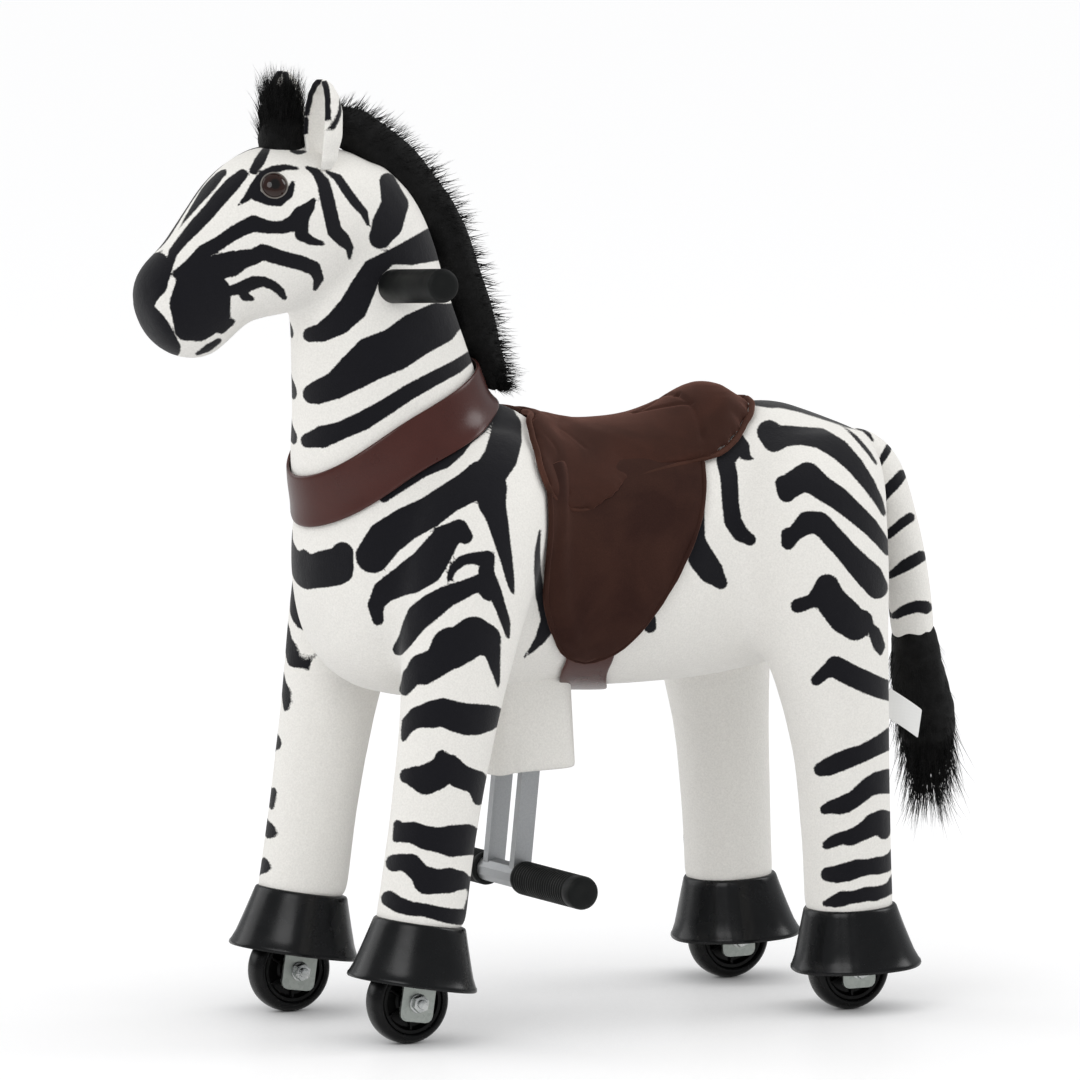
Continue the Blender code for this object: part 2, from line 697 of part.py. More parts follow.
def make_fork(end, name, side):
    """A folded strap over the wheel with a stem up the leg, leaning as its leg does."""
    front = end == "front"
    slope = FORELEG_SLOPE if front else 0.0
    place = AXLES[end, name].matrix_world.to_translation()
    tilt = Matrix.Translation(place) @ Matrix.Rotation(-slope, 4, "X")
    outer = FORK_INSIDE / 2 + FORK_STRAP_THICKNESS
    crown = FORK_CROWN_HEIGHT - WHEEL_RADIUS
    bm = box((-outer, -FORK_STRAP_WIDTH / 2, crown - FORK_STRAP_THICKNESS), (outer, FORK_STRAP_WIDTH / 2, crown))
    bmesh.ops.transform(bm, matrix=tilt, verts=bm.verts)
    obj = object_from(bm, f"{end}_fork_{name}", "steel", KING_PINS[name] if front else None)
    for sign in (-1, 1):
        plate = bmesh.new()
        verts = [plate.verts.new((sign * FORK_INSIDE / 2, b, h)) for b, h in strap_profile()]
        moved = bmesh.ops.extrude_face_region(plate, geom=[plate.faces.new(verts)])
        raised = [v for v in moved["geom"] if isinstance(v, bmesh.types.BMVert)]
        bmesh.ops.translate(plate, verts=raised, vec=(sign * FORK_STRAP_THICKNESS, 0, 0))
        bmesh.ops.transform(plate, matrix=tilt, verts=plate.verts)
        boolean(obj, cutter_from(plate, f"{end}_strap_{name}{sign}"), "UNION")
    if front:
        # The steer arm sits on the stem's top, above the leg tube, and points back.
        top = (TIE_ROD_HEIGHT + STEER_ARM * math.sin(slope) - WHEEL_RADIUS) / math.cos(slope)
        stem = bmesh.new()
        add_rod(stem, (0, 0, crown - FORK_STRAP_THICKNESS / 2), (0, 0, top), STEM_RADIUS)
        bmesh.ops.transform(stem, matrix=tilt, verts=stem.verts)
        boolean(obj, cutter_from(stem, f"stem_{name}"), "UNION")
        arm = steer_arm_shape(STEM_RADIUS)
        bmesh.ops.transform(arm, matrix=tilt @ Matrix.Translation((0, 0, top)), verts=arm.verts)
        boolean(obj, cutter_from(arm, f"steer_arm_{name}"), "UNION")
    bolt = rod((-outer - OVERRUN, 0, 0), (outer + OVERRUN, 0, 0), AXLE_RADIUS + SEAT_GAP, 12)
    bmesh.ops.transform(bolt, matrix=tilt, verts=bolt.verts)
    boolean(obj, cutter_from(bolt, f"{end}_axle_hole_{name}"))
    if front:
        boolean(obj, cutter_from(tie_rod_pin(side * TRACK / 2, STEER_PIN_SLACK), f"steer_eye_{name}"))
    return obj


def tie_rod_back():
    """How far behind the axle the eyes of all the steer arms are."""
    return column_point(TIE_ROD_HEIGHT).y - FRONT_AXLE_Y + STEER_ARM


def tie_rod_pin(side, slack=0.0):
    """The upright pin at a tie rod's end, or with slack the eye that it turns in."""
    run = STEER_PLATE_THICKNESS * 2 + slack * 3
    height = TIE_ROD_HEIGHT + STEER_PLATE_THICKNESS
    return rod(at(tie_rod_back(), height - run, side), at(tie_rod_back(), height + TIE_ROD_LIFT + TIE_ROD_RADIUS / 2 + slack, side), STEER_PIN_RADIUS + slack)


def steer_arm_shape(root_radius):
    """A flat arm at height 0 that points back from its root, wide enough for its eye."""
    bm = bmesh.new()
    half = STEER_PLATE_THICKNESS / 2
    spread = STEER_EYE_RADIUS
    corners = [
        (-root_radius - half, 0.0), (-spread, STEER_ARM), (-spread + STEER_EYE_RADIUS / 2, STEER_ARM + STEER_EYE_RADIUS),
        (spread - STEER_EYE_RADIUS / 2, STEER_ARM + STEER_EYE_RADIUS), (spread, STEER_ARM), (root_radius + half, 0.0),
        (root_radius * 0.6, -root_radius - half), (-root_radius * 0.6, -root_radius - half),
    ]
    verts = [bm.verts.new((x, y, -half)) for x, y in corners]
    moved = bmesh.ops.extrude_face_region(bm, geom=[bm.faces.new(verts)])
    raised = [v for v in moved["geom"] if isinstance(v, bmesh.types.BMVert)]
    bmesh.ops.translate(bm, verts=raised, vec=(0, 0, STEER_PLATE_THICKNESS))
    bmesh.ops.recalc_face_normals(bm, faces=bm.faces)
    return bm


for end in ("front", "rear"):
    for name, side in SIDES:
        make_tyre(end, name)
        make_core(end, name)
        make_axle_bolt(end, name)
        make_fork(end, name, side)


# Frames. The chassis is the spine, the hip tube and the two hind leg tubes, welded into one piece.


def union(obj, bm, name):
    boolean(obj, cutter_from(bm, name), "UNION")


def cut(obj, bm, name):
    boolean(obj, cutter_from(bm, name))


def make_chassis():
    half = SPINE_WIDTH / 2
    low = at(SWING_BACK, SWING_HEIGHT - SPINE_DEPTH / 2, -half)
    high = at(HIP_BACK, SWING_HEIGHT + SPINE_DEPTH / 2, half)
    obj = object_from(box(low, high), "chassis_frame", "steel")
    reach = TRACK / 2
    union(obj, rod(at(HIP_BACK, HIP_HEIGHT, -reach), at(HIP_BACK, HIP_HEIGHT, reach), CROSS_TUBE_RADIUS), "hip_tube")
    for name, side in SIDES:
        foot = at(WHEELBASE, FORK_CROWN_HEIGHT + SEAT_GAP, side * reach)
        union(obj, rod(foot, at(HIP_BACK, HIP_HEIGHT, side * reach), LEG_TUBE_RADIUS), f"hind_tube_{name}")
    hub = HANGER_BAR_OFFSET - RUNNING_GAP
    union(obj, rod(at(SWING_BACK, SWING_HEIGHT, -hub), at(SWING_BACK, SWING_HEIGHT, hub), HUB_RADIUS, 20), "swing_hub")
    lug = bar_outline([(HANGER_BACK, HANGER_HEIGHT), (HANGER_BACK, SWING_HEIGHT)], HUB_RADIUS)
    union(obj, outline_plate(lug, -half * 0.8, half * 0.8), "hanger_lug")
    union(obj, rod(at(HANGER_BACK, HANGER_HEIGHT, -hub), at(HANGER_BACK, HANGER_HEIGHT, hub), HUB_RADIUS, 20), "hanger_hub")
    for name, back, height in (("swing", SWING_BACK, SWING_HEIGHT), ("hanger", HANGER_BACK, HANGER_HEIGHT)):
        hole = rod(at(back, height, -TRACK / 2), at(back, height, TRACK / 2), MAIN_BOLT_RADIUS + SEAT_GAP, 12)
        cut(obj, hole, f"{name}_hole")
    # A post at the spine's front carries the saddle pan.
    post_back = SWING_BACK + HUB_RADIUS + SPINE_DEPTH
    union(obj, rod(at(post_back, SWING_HEIGHT, 0), at(post_back, SADDLE_PAN_HEIGHT - SEAT_GAP, 0), CROSS_TUBE_RADIUS * 0.8, 12), "pan_post")


# Where the bars lie across the bolts.
LINK_OFFSET = HANGER_BAR_OFFSET + HANGER_BAR_THICKNESS + SEAT_GAP * 2
PLATE_OFFSET = LINK_OFFSET + LINK_THICKNESS + SEAT_GAP * 2
SADDLE_PAN_HEIGHT = 0.444
SADDLE_PAN_THICKNESS = 0.004


def main_bolt(name, back, height, outside, parent=None):
    """A bolt across the frames with a hexagon at each end."""
    length = outside + BOLT_HEAD_THICKNESS / 2
    obj = object_from(rod(at(back, height, -length), at(back, height, length), MAIN_BOLT_RADIUS, 12), name, "steel", parent)
    for sign in (-1, 1):
        inner, outer = outside + SEAT_GAP, outside + BOLT_HEAD_THICKNESS
        cap = rod(at(back, height, sign * inner), at(back, height, sign * outer), BOLT_HEAD_RADIUS, 6)
        union(obj, cap, f"{name}_head{sign}")
    return obj


def crank_bolt(name, side):
    """A short bolt through one link and one swing plate, clear of the spine."""
    back, height = SWING_BACK + CRANK_REACH, SWING_HEIGHT
    inner, outer = LINK_OFFSET - SEAT_GAP, PLATE_OFFSET + SWING_PLATE_THICKNESS + SEAT_GAP
    half_head = BOLT_HEAD_THICKNESS / 2
    start, stop = at(back, height, side * (inner - half_head)), at(back, height, side * (outer + half_head))
    obj = object_from(rod(start, stop, MAIN_BOLT_RADIUS), f"crank_bolt_{name}", "steel", SWING)
    for end_name, low, high in (("inner", inner - BOLT_HEAD_THICKNESS, inner), ("outer", outer, outer + BOLT_HEAD_THICKNESS)):
        cap = rod(at(back, height, side * low), at(back, height, side * high), BOLT_HEAD_RADIUS, 6)
        union(obj, cap, f"crank_bolt_{name}_{end_name}")


def make_front_frame():
    """The shoulder tube, the two foreleg tubes, the two swing plates and the head tube, welded into one piece."""
    shoulder = foreleg_back(SHOULDER_HEIGHT)
    reach = TRACK / 2
    obj = object_from(rod(at(shoulder, SHOULDER_HEIGHT, -reach), at(shoulder, SHOULDER_HEIGHT, reach), CROSS_TUBE_RADIUS), "front_frame", "steel", SWING)
    top = TIE_ROD_HEIGHT - STEER_PLATE_THICKNESS * 2
    for name, side in SIDES:
        foot = FORK_CROWN_HEIGHT + RUNNING_GAP * 3
        start, end_point = at(foreleg_back(foot), foot, side * reach), at(foreleg_back(top), top, side * reach)
        union(obj, rod(start, end_point, LEG_TUBE_RADIUS), f"foreleg_tube_{name}")
        path = [(shoulder, SHOULDER_HEIGHT), (SWING_BACK, SWING_HEIGHT), (SWING_BACK + CRANK_REACH, SWING_HEIGHT)]
        plate = outline_plate(bar_outline(path, SWING_PLATE_WIDTH / 2), side * PLATE_OFFSET, side * (PLATE_OFFSET + SWING_PLATE_THICKNESS))
        union(obj, plate, f"swing_plate_{name}")
    axis = Vector(COLUMN_AXIS)
    foot = column_point(SHOULDER_HEIGHT) + axis * (CROSS_TUBE_RADIUS + TIE_ROD_HEIGHT - SHOULDER_HEIGHT + STEER_PLATE_THICKNESS)
    union(obj, rod(foot, foot + axis * HEAD_TUBE_LENGTH, HEAD_TUBE_RADIUS), "head_tube")
    # A gusset carries the head tube on the shoulder tube, in front of the column's foot.
    front = shoulder - HEAD_TUBE_RADIUS * 2
    path = [(shoulder, SHOULDER_HEIGHT), (front, SHOULDER_HEIGHT + CROSS_TUBE_RADIUS), (front, foot.z), (foot.y - FRONT_AXLE_Y - HEAD_TUBE_RADIUS * 0.8, foot.z + HEAD_TUBE_RADIUS)]
    brace = bar_outline(path, CROSS_TUBE_RADIUS * 0.4)
    union(obj, outline_plate(brace, -STEM_RADIUS, STEM_RADIUS), "head_gusset")
    for name, side in SIDES:
        low, high = at(foreleg_back(0), 0, side * reach), at(foreleg_back(SHOULDER_HEIGHT * 2), SHOULDER_HEIGHT * 2, side * reach)
        cut(obj, rod(low, high, (STEM_RADIUS + RUNNING_GAP / 2) / ROUND_APOTHEM), f"stem_bore_{name}")
    cut(obj, rod(foot - axis * OVERRUN, foot + axis * (HEAD_TUBE_LENGTH + OVERRUN), (COLUMN_RADIUS + RUNNING_GAP / 2) / ROUND_APOTHEM), "column_bore")
    for name, back in (("swing", SWING_BACK), ("crank", SWING_BACK + CRANK_REACH)):
        hole = rod(at(back, SWING_HEIGHT, -reach), at(back, SWING_HEIGHT, reach), MAIN_BOLT_RADIUS + SEAT_GAP, 12)
        cut(obj, hole, f"plate_hole_{name}")
    return foot


def make_hanger():
    """The two L bars of the pedal hanger and the cross tube under them, welded into one piece."""
    slope = math.tan(HANGER_SLOPE)
    corner = PEDAL_BACK + (HANGER_CORNER_HEIGHT - PEDAL_HEIGHT) * slope
    path = [(PEDAL_BACK, PEDAL_HEIGHT), (corner, HANGER_CORNER_HEIGHT), (HANGER_BACK, HANGER_HEIGHT), (HANGER_BACK + CRANK_REACH, HANGER_HEIGHT)]
    tube_end = PEDAL_REACH - GRIP_RADIUS * 0.6
    obj = object_from(rod(at(PEDAL_BACK, PEDAL_HEIGHT, -tube_end), at(PEDAL_BACK, PEDAL_HEIGHT, tube_end), PEDAL_TUBE_RADIUS), "pedal_hanger", "steel", HANGER)
    for name, side in SIDES:
        bar = outline_plate(bar_outline(path, HANGER_BAR_WIDTH / 2), side * HANGER_BAR_OFFSET, side * (HANGER_BAR_OFFSET + HANGER_BAR_THICKNESS))
        union(obj, bar, f"hanger_bar_{name}")
    for name, back in (("hanger", HANGER_BACK), ("link", HANGER_BACK + CRANK_REACH)):
        hole = rod(at(back, HANGER_HEIGHT, -TRACK / 2), at(back, HANGER_HEIGHT, TRACK / 2), MAIN_BOLT_RADIUS + SEAT_GAP, 12)
        cut(obj, hole, f"hanger_hole_{name}")


def make_links():
    """The two parallel links, from the hanger's rear end up to the front frame's cranks."""
    path = [(HANGER_BACK + CRANK_REACH, HANGER_HEIGHT), (SWING_BACK + CRANK_REACH, SWING_HEIGHT)]
    for name, side in SIDES:
        bm = outline_plate(bar_outline(path, HANGER_BAR_WIDTH / 2), side * LINK_OFFSET, side * (LINK_OFFSET + LINK_THICKNESS))
        obj = object_from(bm, f"hanger_link_{name}", "steel", LINK)
        for hole_name, (back, height), slack in (("foot", path[0], SEAT_GAP), ("head", path[1], RUNNING_GAP)):
            hole = rod(at(back, height, -TRACK / 2), at(back, height, TRACK / 2), MAIN_BOLT_RADIUS + slack, 12)
            cut(obj, hole, f"link_hole_{hole_name}_{name}")


def ribbed_grip(name, inner, outer, radius, bore, parent, flange=True):
    """A rubber grip from an inner to an outer end, with ribs round it, a flange inside and a closed round cap."""
    inner, outer = Vector(inner), Vector(outer)
    length = (outer - inner).length
    bore = bore / math.cos(math.pi / GRIP_SIDES)
    start = GRIP_FLANGE_THICKNESS if flange else GRIP_RIB
    cap = radius * 0.45
    profile = [(bore, length - cap * 1.2), (bore, 0.0)]
    profile += [(GRIP_FLANGE_RADIUS, 0.0), (GRIP_FLANGE_RADIUS, start)] if flange else [(radius, 0.0)]
    pitch = (length - start - cap) / GRIP_RIBS
    for k in range(GRIP_RIBS):
        profile += [(radius - GRIP_RIB, start + (k + 0.25) * pitch), (radius, start + (k + 0.75) * pitch)]
    profile += [(radius, length - cap), (radius * 0.82, length - cap * 0.25), (radius * 0.5, length)]
    place = Matrix.Translation(inner) @ turn_to(outer - inner)
    bm = bmesh.new()
    rings = []
    for r, h in profile:
        rings.append([bm.verts.new((r * math.cos(t), r * math.sin(t), h)) for t in (2 * math.pi * (i + 0.5) / GRIP_SIDES for i in range(GRIP_SIDES))])
    for one, two in zip(rings, rings[1:]):
        for i in range(GRIP_SIDES):
            j = (i + 1) % GRIP_SIDES
            bm.faces.new((one[i], one[j], two[j], two[i]))
    bm.faces.new(rings[0])
    bm.faces.new(rings[-1])
    bmesh.ops.transform(bm, matrix=place, verts=bm.verts)
    return object_from(bm, name, "rubber", parent)


make_chassis()
main_bolt("swing_bolt", SWING_BACK, SWING_HEIGHT, PLATE_OFFSET + SWING_PLATE_THICKNESS)
main_bolt("hanger_bolt", HANGER_BACK, HANGER_HEIGHT, HANGER_BAR_OFFSET + HANGER_BAR_THICKNESS)
HEAD_TUBE_FOOT = make_front_frame()
make_hanger()
make_links()
main_bolt("link_bolt", HANGER_BACK + CRANK_REACH, HANGER_HEIGHT, LINK_OFFSET + LINK_THICKNESS, HANGER)
for name, side in SIDES:
    crank_bolt(name, side)
for name, side in SIDES:
    inner, outer = side * (PEDAL_REACH - PEDAL_GRIP_LENGTH), side * PEDAL_REACH
    ribbed_grip(f"pedal_grip_{name}", at(PEDAL_BACK, PEDAL_HEIGHT, inner), at(PEDAL_BACK, PEDAL_HEIGHT, outer), GRIP_RADIUS, PEDAL_TUBE_RADIUS + SEAT_GAP, HANGER)


# Steering.


def make_column():
    """The column with the steer arm at its foot and the handlebar across its top, welded into one piece."""
    axis = Vector(COLUMN_AXIS)
    foot = column_point(TIE_ROD_HEIGHT - STEER_ARM * math.sin(COLUMN_LEAN))
    top = column_point(HANDLEBAR_HEIGHT)
    obj = object_from(rod(foot, top, COLUMN_RADIUS), "steering_column", "steel", COLUMN)
    arm = steer_arm_shape(COLUMN_RADIUS)
    bmesh.ops.transform(arm, matrix=Matrix.Translation(foot) @ Matrix.Rotation(COLUMN_LEAN, 4, "X"), verts=arm.verts)
    union(obj, arm, "column_arm")
    cut(obj, tie_rod_pin(0.0, RUNNING_GAP), "column_eye")
    half = HANDLEBAR_SPAN / 2
    for name, side in SIDES:
        end_point = top + Vector((side * half, 0, half * math.tan(HANDLEBAR_RISE)))
        inset = (top - end_point).normalized() * GRIP_RADIUS
        union(obj, rod(top, end_point + inset, HANDLEBAR_RADIUS), f"handlebar_{name}")
        start = end_point + (top - end_point).normalized() * HAND_GRIP_LENGTH
        ribbed_grip(f"hand_grip_{name}", start, end_point, GRIP_RADIUS, HANDLEBAR_RADIUS + SEAT_GAP, COLUMN, False)


def make_tie_rod():
    """A rod across both forks' arms, with a third pin in the middle for the column's arm, welded into one piece."""
    end = TRACK / 2 + STEER_PIN_RADIUS * 2
    height = TIE_ROD_HEIGHT + STEER_PLATE_THICKNESS / 2 + TIE_ROD_RADIUS + TIE_ROD_LIFT
    obj = object_from(rod(at(tie_rod_back(), height, -end), at(tie_rod_back(), height, end), TIE_ROD_RADIUS), "tie_rod", "steel", TIE_PIN)
    for k in (-1, 0, 1):
        union(obj, tie_rod_pin(k * TRACK / 2), f"tie_pin{k}")


make_column()
make_tie_rod()


# Plush, cut by the forms that lie under or over it.


def hollow_cutter(name, low_back, high_back):
    return cutter_from(
        box(at(low_back, HOLLOW_BOTTOM, -HOLLOW_HALF_WIDTH), at(high_back, HOLLOW_TOP, HOLLOW_HALF_WIDTH)), name
    )


def split_half(front, gap):
    """A big block in front of the split between chest and barrel, or behind it, whose lower part opens a wedge."""
    lean = math.tan(-SPLIT_LEAN)
    reach = TRUNK_LENGTH

    def line(height, extra=0.0):
        return SPLIT_BACK + (height - SWING_HEIGHT) * lean + extra

    low, high = BELLY_HEIGHT - TRUNK_DEPTH, BELLY_HEIGHT + TRUNK_DEPTH * 2
    if front:
        # Below the bolt the chest swings back as the legs close, so its face leans forward by the closing angle.
        knee = SWING_HEIGHT + SPINE_DEPTH
        wedge = (knee - low) * math.tan(SWING_CLOSING * WEDGE_SHARE)
        points = [(line(low, -wedge), low), (line(knee), knee), (line(high), high), (-reach, high), (-reach, low)]
    else:
        points = [(line(low, gap), low), (reach * 2, low), (reach * 2, high), (line(high, gap), high)]
    return outline_plate(points, -reach, reach)


def make_barrel():
    obj = object_from(trunk(), "barrel_plush", "plush")
    boolean(obj, cutter_from(split_half(False, SPLIT_GAP), "split_behind"), "INTERSECT")
    boolean(obj, hollow_cutter("barrel_hollow", 0.0, HOLLOW_END_BACK))
    mouth = box(at(SLEEVE_BACK - SLEEVE_HALF_LENGTH + SLEEVE_WALL, SLEEVE_BOTTOM, -SLEEVE_HALF_WIDTH + SLEEVE_WALL), at(SLEEVE_BACK + SLEEVE_HALF_LENGTH - SLEEVE_WALL, SWING_HEIGHT, SLEEVE_HALF_WIDTH - SLEEVE_WALL))
    cut(obj, mouth, "barrel_mouth")
    cut(obj, rod(at(HIP_BACK, HIP_HEIGHT, -TRUNK_WIDTH), at(HIP_BACK, HIP_HEIGHT, TRUNK_WIDTH), CROSS_TUBE_RADIUS + PLUSH_GAP), "hip_bore")
    for name, side in SIDES:
        clear = rod(at(WHEELBASE, 0, side * TRACK / 2), at(HIP_BACK, HIP_HEIGHT + LEG_TUBE_RADIUS, side * TRACK / 2), LEG_TUBE_RADIUS + PLUSH_GAP)
        cut(obj, clear, f"hind_bore_{name}")
    spine = box(at(HOLLOW_END_BACK - OVERRUN, SWING_HEIGHT - SPINE_DEPTH / 2 - PLUSH_GAP, -SPINE_WIDTH / 2 - PLUSH_GAP), at(HIP_BACK + PLUSH_GAP, SWING_HEIGHT + SPINE_DEPTH / 2 + PLUSH_GAP, SPINE_WIDTH / 2 + PLUSH_GAP))
    cut(obj, spine, "spine_bore")
    post_back = SWING_BACK + HUB_RADIUS + SPINE_DEPTH
    pan = box(at(post_back - PAN_LENGTH / 2, HOLLOW_TOP - OVERRUN, -PAN_HALF_WIDTH), at(post_back + PAN_LENGTH / 2, SADDLE_PAN_HEIGHT + SADDLE_PAN_THICKNESS + PLUSH_GAP, PAN_HALF_WIDTH))
    cut(obj, pan, "pan_pocket")
    return obj


PAN_LENGTH = 0.110
PAN_HALF_WIDTH = 0.034


def make_pan():
    """The plywood pan that the rider's weight goes through, on the post of the spine."""
    post_back = SWING_BACK + HUB_RADIUS + SPINE_DEPTH
    low = at(post_back - PAN_LENGTH / 2 + PLUSH_GAP, SADDLE_PAN_HEIGHT, -PAN_HALF_WIDTH + PLUSH_GAP)
    high = at(post_back + PAN_LENGTH / 2 - PLUSH_GAP, SADDLE_PAN_HEIGHT + SADDLE_PAN_THICKNESS, PAN_HALF_WIDTH - PLUSH_GAP)
    object_from(box(low, high), "saddle_pan", "steel")


def column_block(above):
    """A big block above the neck's flat cut, or below it."""
    bm = bmesh.new()
    size = TRUNK_LENGTH
    sign = 1 if above else -1
    bmesh.ops.create_cube(bm, size=size, matrix=Matrix.Translation((0, 0, sign * size / 2)))
    bmesh.ops.transform(bm, matrix=Matrix.Translation(column_point(NECK_CUT_HEIGHT)) @ Matrix.Rotation(COLUMN_LEAN, 4, "X"), verts=bm.verts)
    return bm


def make_chest():
    obj = object_from(trunk(), "chest_plush", "plush", SWING)
    union(obj, neck_base(), "neck_root")
    boolean(obj, cutter_from(split_half(True, 0.0), "split_ahead"), "INTERSECT")
    boolean(obj, cutter_from(column_block(False), "neck_cut"), "INTERSECT")
    shoulder = foreleg_back(SHOULDER_HEIGHT)
    low = at(shoulder - HEAD_TUBE_RADIUS * 2 - OVERRUN, SHOULDER_HEIGHT - CROSS_TUBE_RADIUS - SWING_PLATE_WIDTH / 2, -PLATE_OFFSET - SWING_PLATE_THICKNESS - RUNNING_GAP)
    high = at(SPLIT_BACK * 2, TIE_ROD_HEIGHT + STEER_ARM * 1.3, PLATE_OFFSET + SWING_PLATE_THICKNESS + RUNNING_GAP)
    cut(obj, box(low, high), "chest_hollow")
    cut(obj, linkage_slot(), "chest_linkage_slot")
    cut(obj, rod(at(shoulder, SHOULDER_HEIGHT, -TRUNK_WIDTH), at(shoulder, SHOULDER_HEIGHT, TRUNK_WIDTH), CROSS_TUBE_RADIUS + PLUSH_GAP), "shoulder_bore")
    for name, side in SIDES:
        cut(obj, foreleg_bore(side, LEG_TUBE_RADIUS + PLUSH_GAP), f"chest_leg_bore_{name}")
    axis = Vector(COLUMN_AXIS)
    cut(obj, rod(column_point(SHOULDER_HEIGHT), column_point(HANDLEBAR_HEIGHT), HEAD_TUBE_RADIUS + PLUSH_GAP), "head_tube_bore")
    return obj


def foreleg_bore(side, radius):
    reach = side * TRACK / 2
    top = TIE_ROD_HEIGHT + STEER_EYE_RADIUS
    return rod(at(foreleg_back(FORELEG_FOOT) - OVERRUN * math.tan(FORELEG_SLOPE), FORELEG_FOOT - OVERRUN, reach), at(foreleg_back(top), top, reach), radius)


def linkage_slot():
    """The slot across the chest and both shoulders in which the steer arms and tie rods swing."""
    middle = foreleg_back(TIE_ROD_HEIGHT)
    wide = TRACK / 2 + STEER_ARM * math.sin(STEER_LOCK) + STEER_EYE_RADIUS + RUNNING_GAP
    narrow = TRACK / 2 + STEM_RADIUS + STEER_PLATE_THICKNESS
    front, rear = middle - STEM_RADIUS - RUNNING_GAP * 4, middle + STEER_ARM + STEER_EYE_RADIUS + RUNNING_GAP * 3
    low, high = TIE_ROD_HEIGHT - STEER_EYE_RADIUS * 1.4, TIE_ROD_HEIGHT + STEER_EYE_RADIUS * 2.1
    half = [(narrow, front), (narrow, middle), (wide, middle), (wide, rear)]
    bm = bmesh.new()
    verts = [bm.verts.new(at(back, low, side)) for side, back in half + [(-s, b) for s, b in reversed(half)]]
    moved = bmesh.ops.extrude_face_region(bm, geom=[bm.faces.new(verts)])
    raised = [item for item in moved["geom"] if isinstance(item, bmesh.types.BMVert)]
    bmesh.ops.translate(bm, verts=raised, vec=(0.0, 0.0, high - low))
    return bm


def make_legs():
    for name, side in SIDES:
        obj = object_from(foreleg(side), f"foreleg_plush_{name}", "plush", SWING)
        boolean(obj, cutter_from(trunk(PLUSH_GAP), f"trunk_for_foreleg_{name}"))
        boolean(obj, cutter_from(neck_base(PLUSH_GAP), f"neck_for_foreleg_{name}"))
        boolean(obj, cutter_from(split_half(False, -PLUSH_GAP - SPLIT_GAP), f"split_for_foreleg_{name}"))
        cut(obj, foreleg_bore(side, LEG_TUBE_RADIUS + PLUSH_GAP), f"foreleg_bore_{name}")
        cut(obj, linkage_slot(), f"foreleg_slot_{name}")
        shoulder = foreleg_back(SHOULDER_HEIGHT)
        cut(obj, rod(at(shoulder, SHOULDER_HEIGHT, 0), at(shoulder, SHOULDER_HEIGHT, side * (TRACK / 2 + SEAT_GAP)), CROSS_TUBE_RADIUS + PLUSH_GAP), f"shoulder_bore_{name}")
        obj = object_from(hindleg(side), f"hindleg_plush_{name}", "plush")
        boolean(obj, cutter_from(trunk(PLUSH_GAP), f"trunk_for_hindleg_{name}"))
        reach = side * TRACK / 2
        cut(obj, rod(at(WHEELBASE, 0, reach), at(HIP_BACK, HIP_HEIGHT + LEG_TUBE_RADIUS, reach), LEG_TUBE_RADIUS + PLUSH_GAP), f"hindleg_bore_{name}")
        cut(obj, rod(at(HIP_BACK, HIP_HEIGHT, 0), at(HIP_BACK, HIP_HEIGHT, reach), CROSS_TUBE_RADIUS + PLUSH_GAP), f"hip_bore_{name}")


def make_hoof(name, foot, top_radius, place, parent):
    """An open vinyl bell: narrow round the leg's end at the top, and wide over the wheel."""
    closed_top = foot + HOOF_HEIGHT
    bore = LEG_TUBE_RADIUS + PLUSH_GAP
    profile = [
        (HOOF_FOOT_RADIUS, foot), (HOOF_FOOT_RADIUS * 0.93, foot + HOOF_HEIGHT * 0.35), (top_radius, closed_top),
        (bore, closed_top), (bore, closed_top - HOOF_WALL), (top_radius - HOOF_WALL, closed_top - HOOF_WALL),
        (HOOF_FOOT_RADIUS * 0.93 - HOOF_WALL, foot + HOOF_HEIGHT * 0.35), (HOOF_FOOT_RADIUS - HOOF_WALL, foot),
    ]
    profile.append(profile[0])
    profile = [(r, h - WHEEL_RADIUS) for r, h in profile]
    return object_from(turned(profile, HOOF_SIDES, place), name, "hoof_vinyl", parent)


def make_hooves():
    for name, side in SIDES:
        place = Matrix.Translation(at(0.0, WHEEL_RADIUS, side * TRACK / 2)) @ Matrix.Rotation(-FORELEG_SLOPE, 4, "X")
        make_hoof(f"front_hoof_{name}", FORE_HOOF_BOTTOM, FORE_HOOF_TOP_RADIUS, place, SWING)
        place = Matrix.Translation(at(WHEELBASE, WHEEL_RADIUS, side * TRACK / 2))
        make_hoof(f"rear_hoof_{name}", HIND_HOOF_BOTTOM, HIND_HOOF_TOP_RADIUS, place, None)


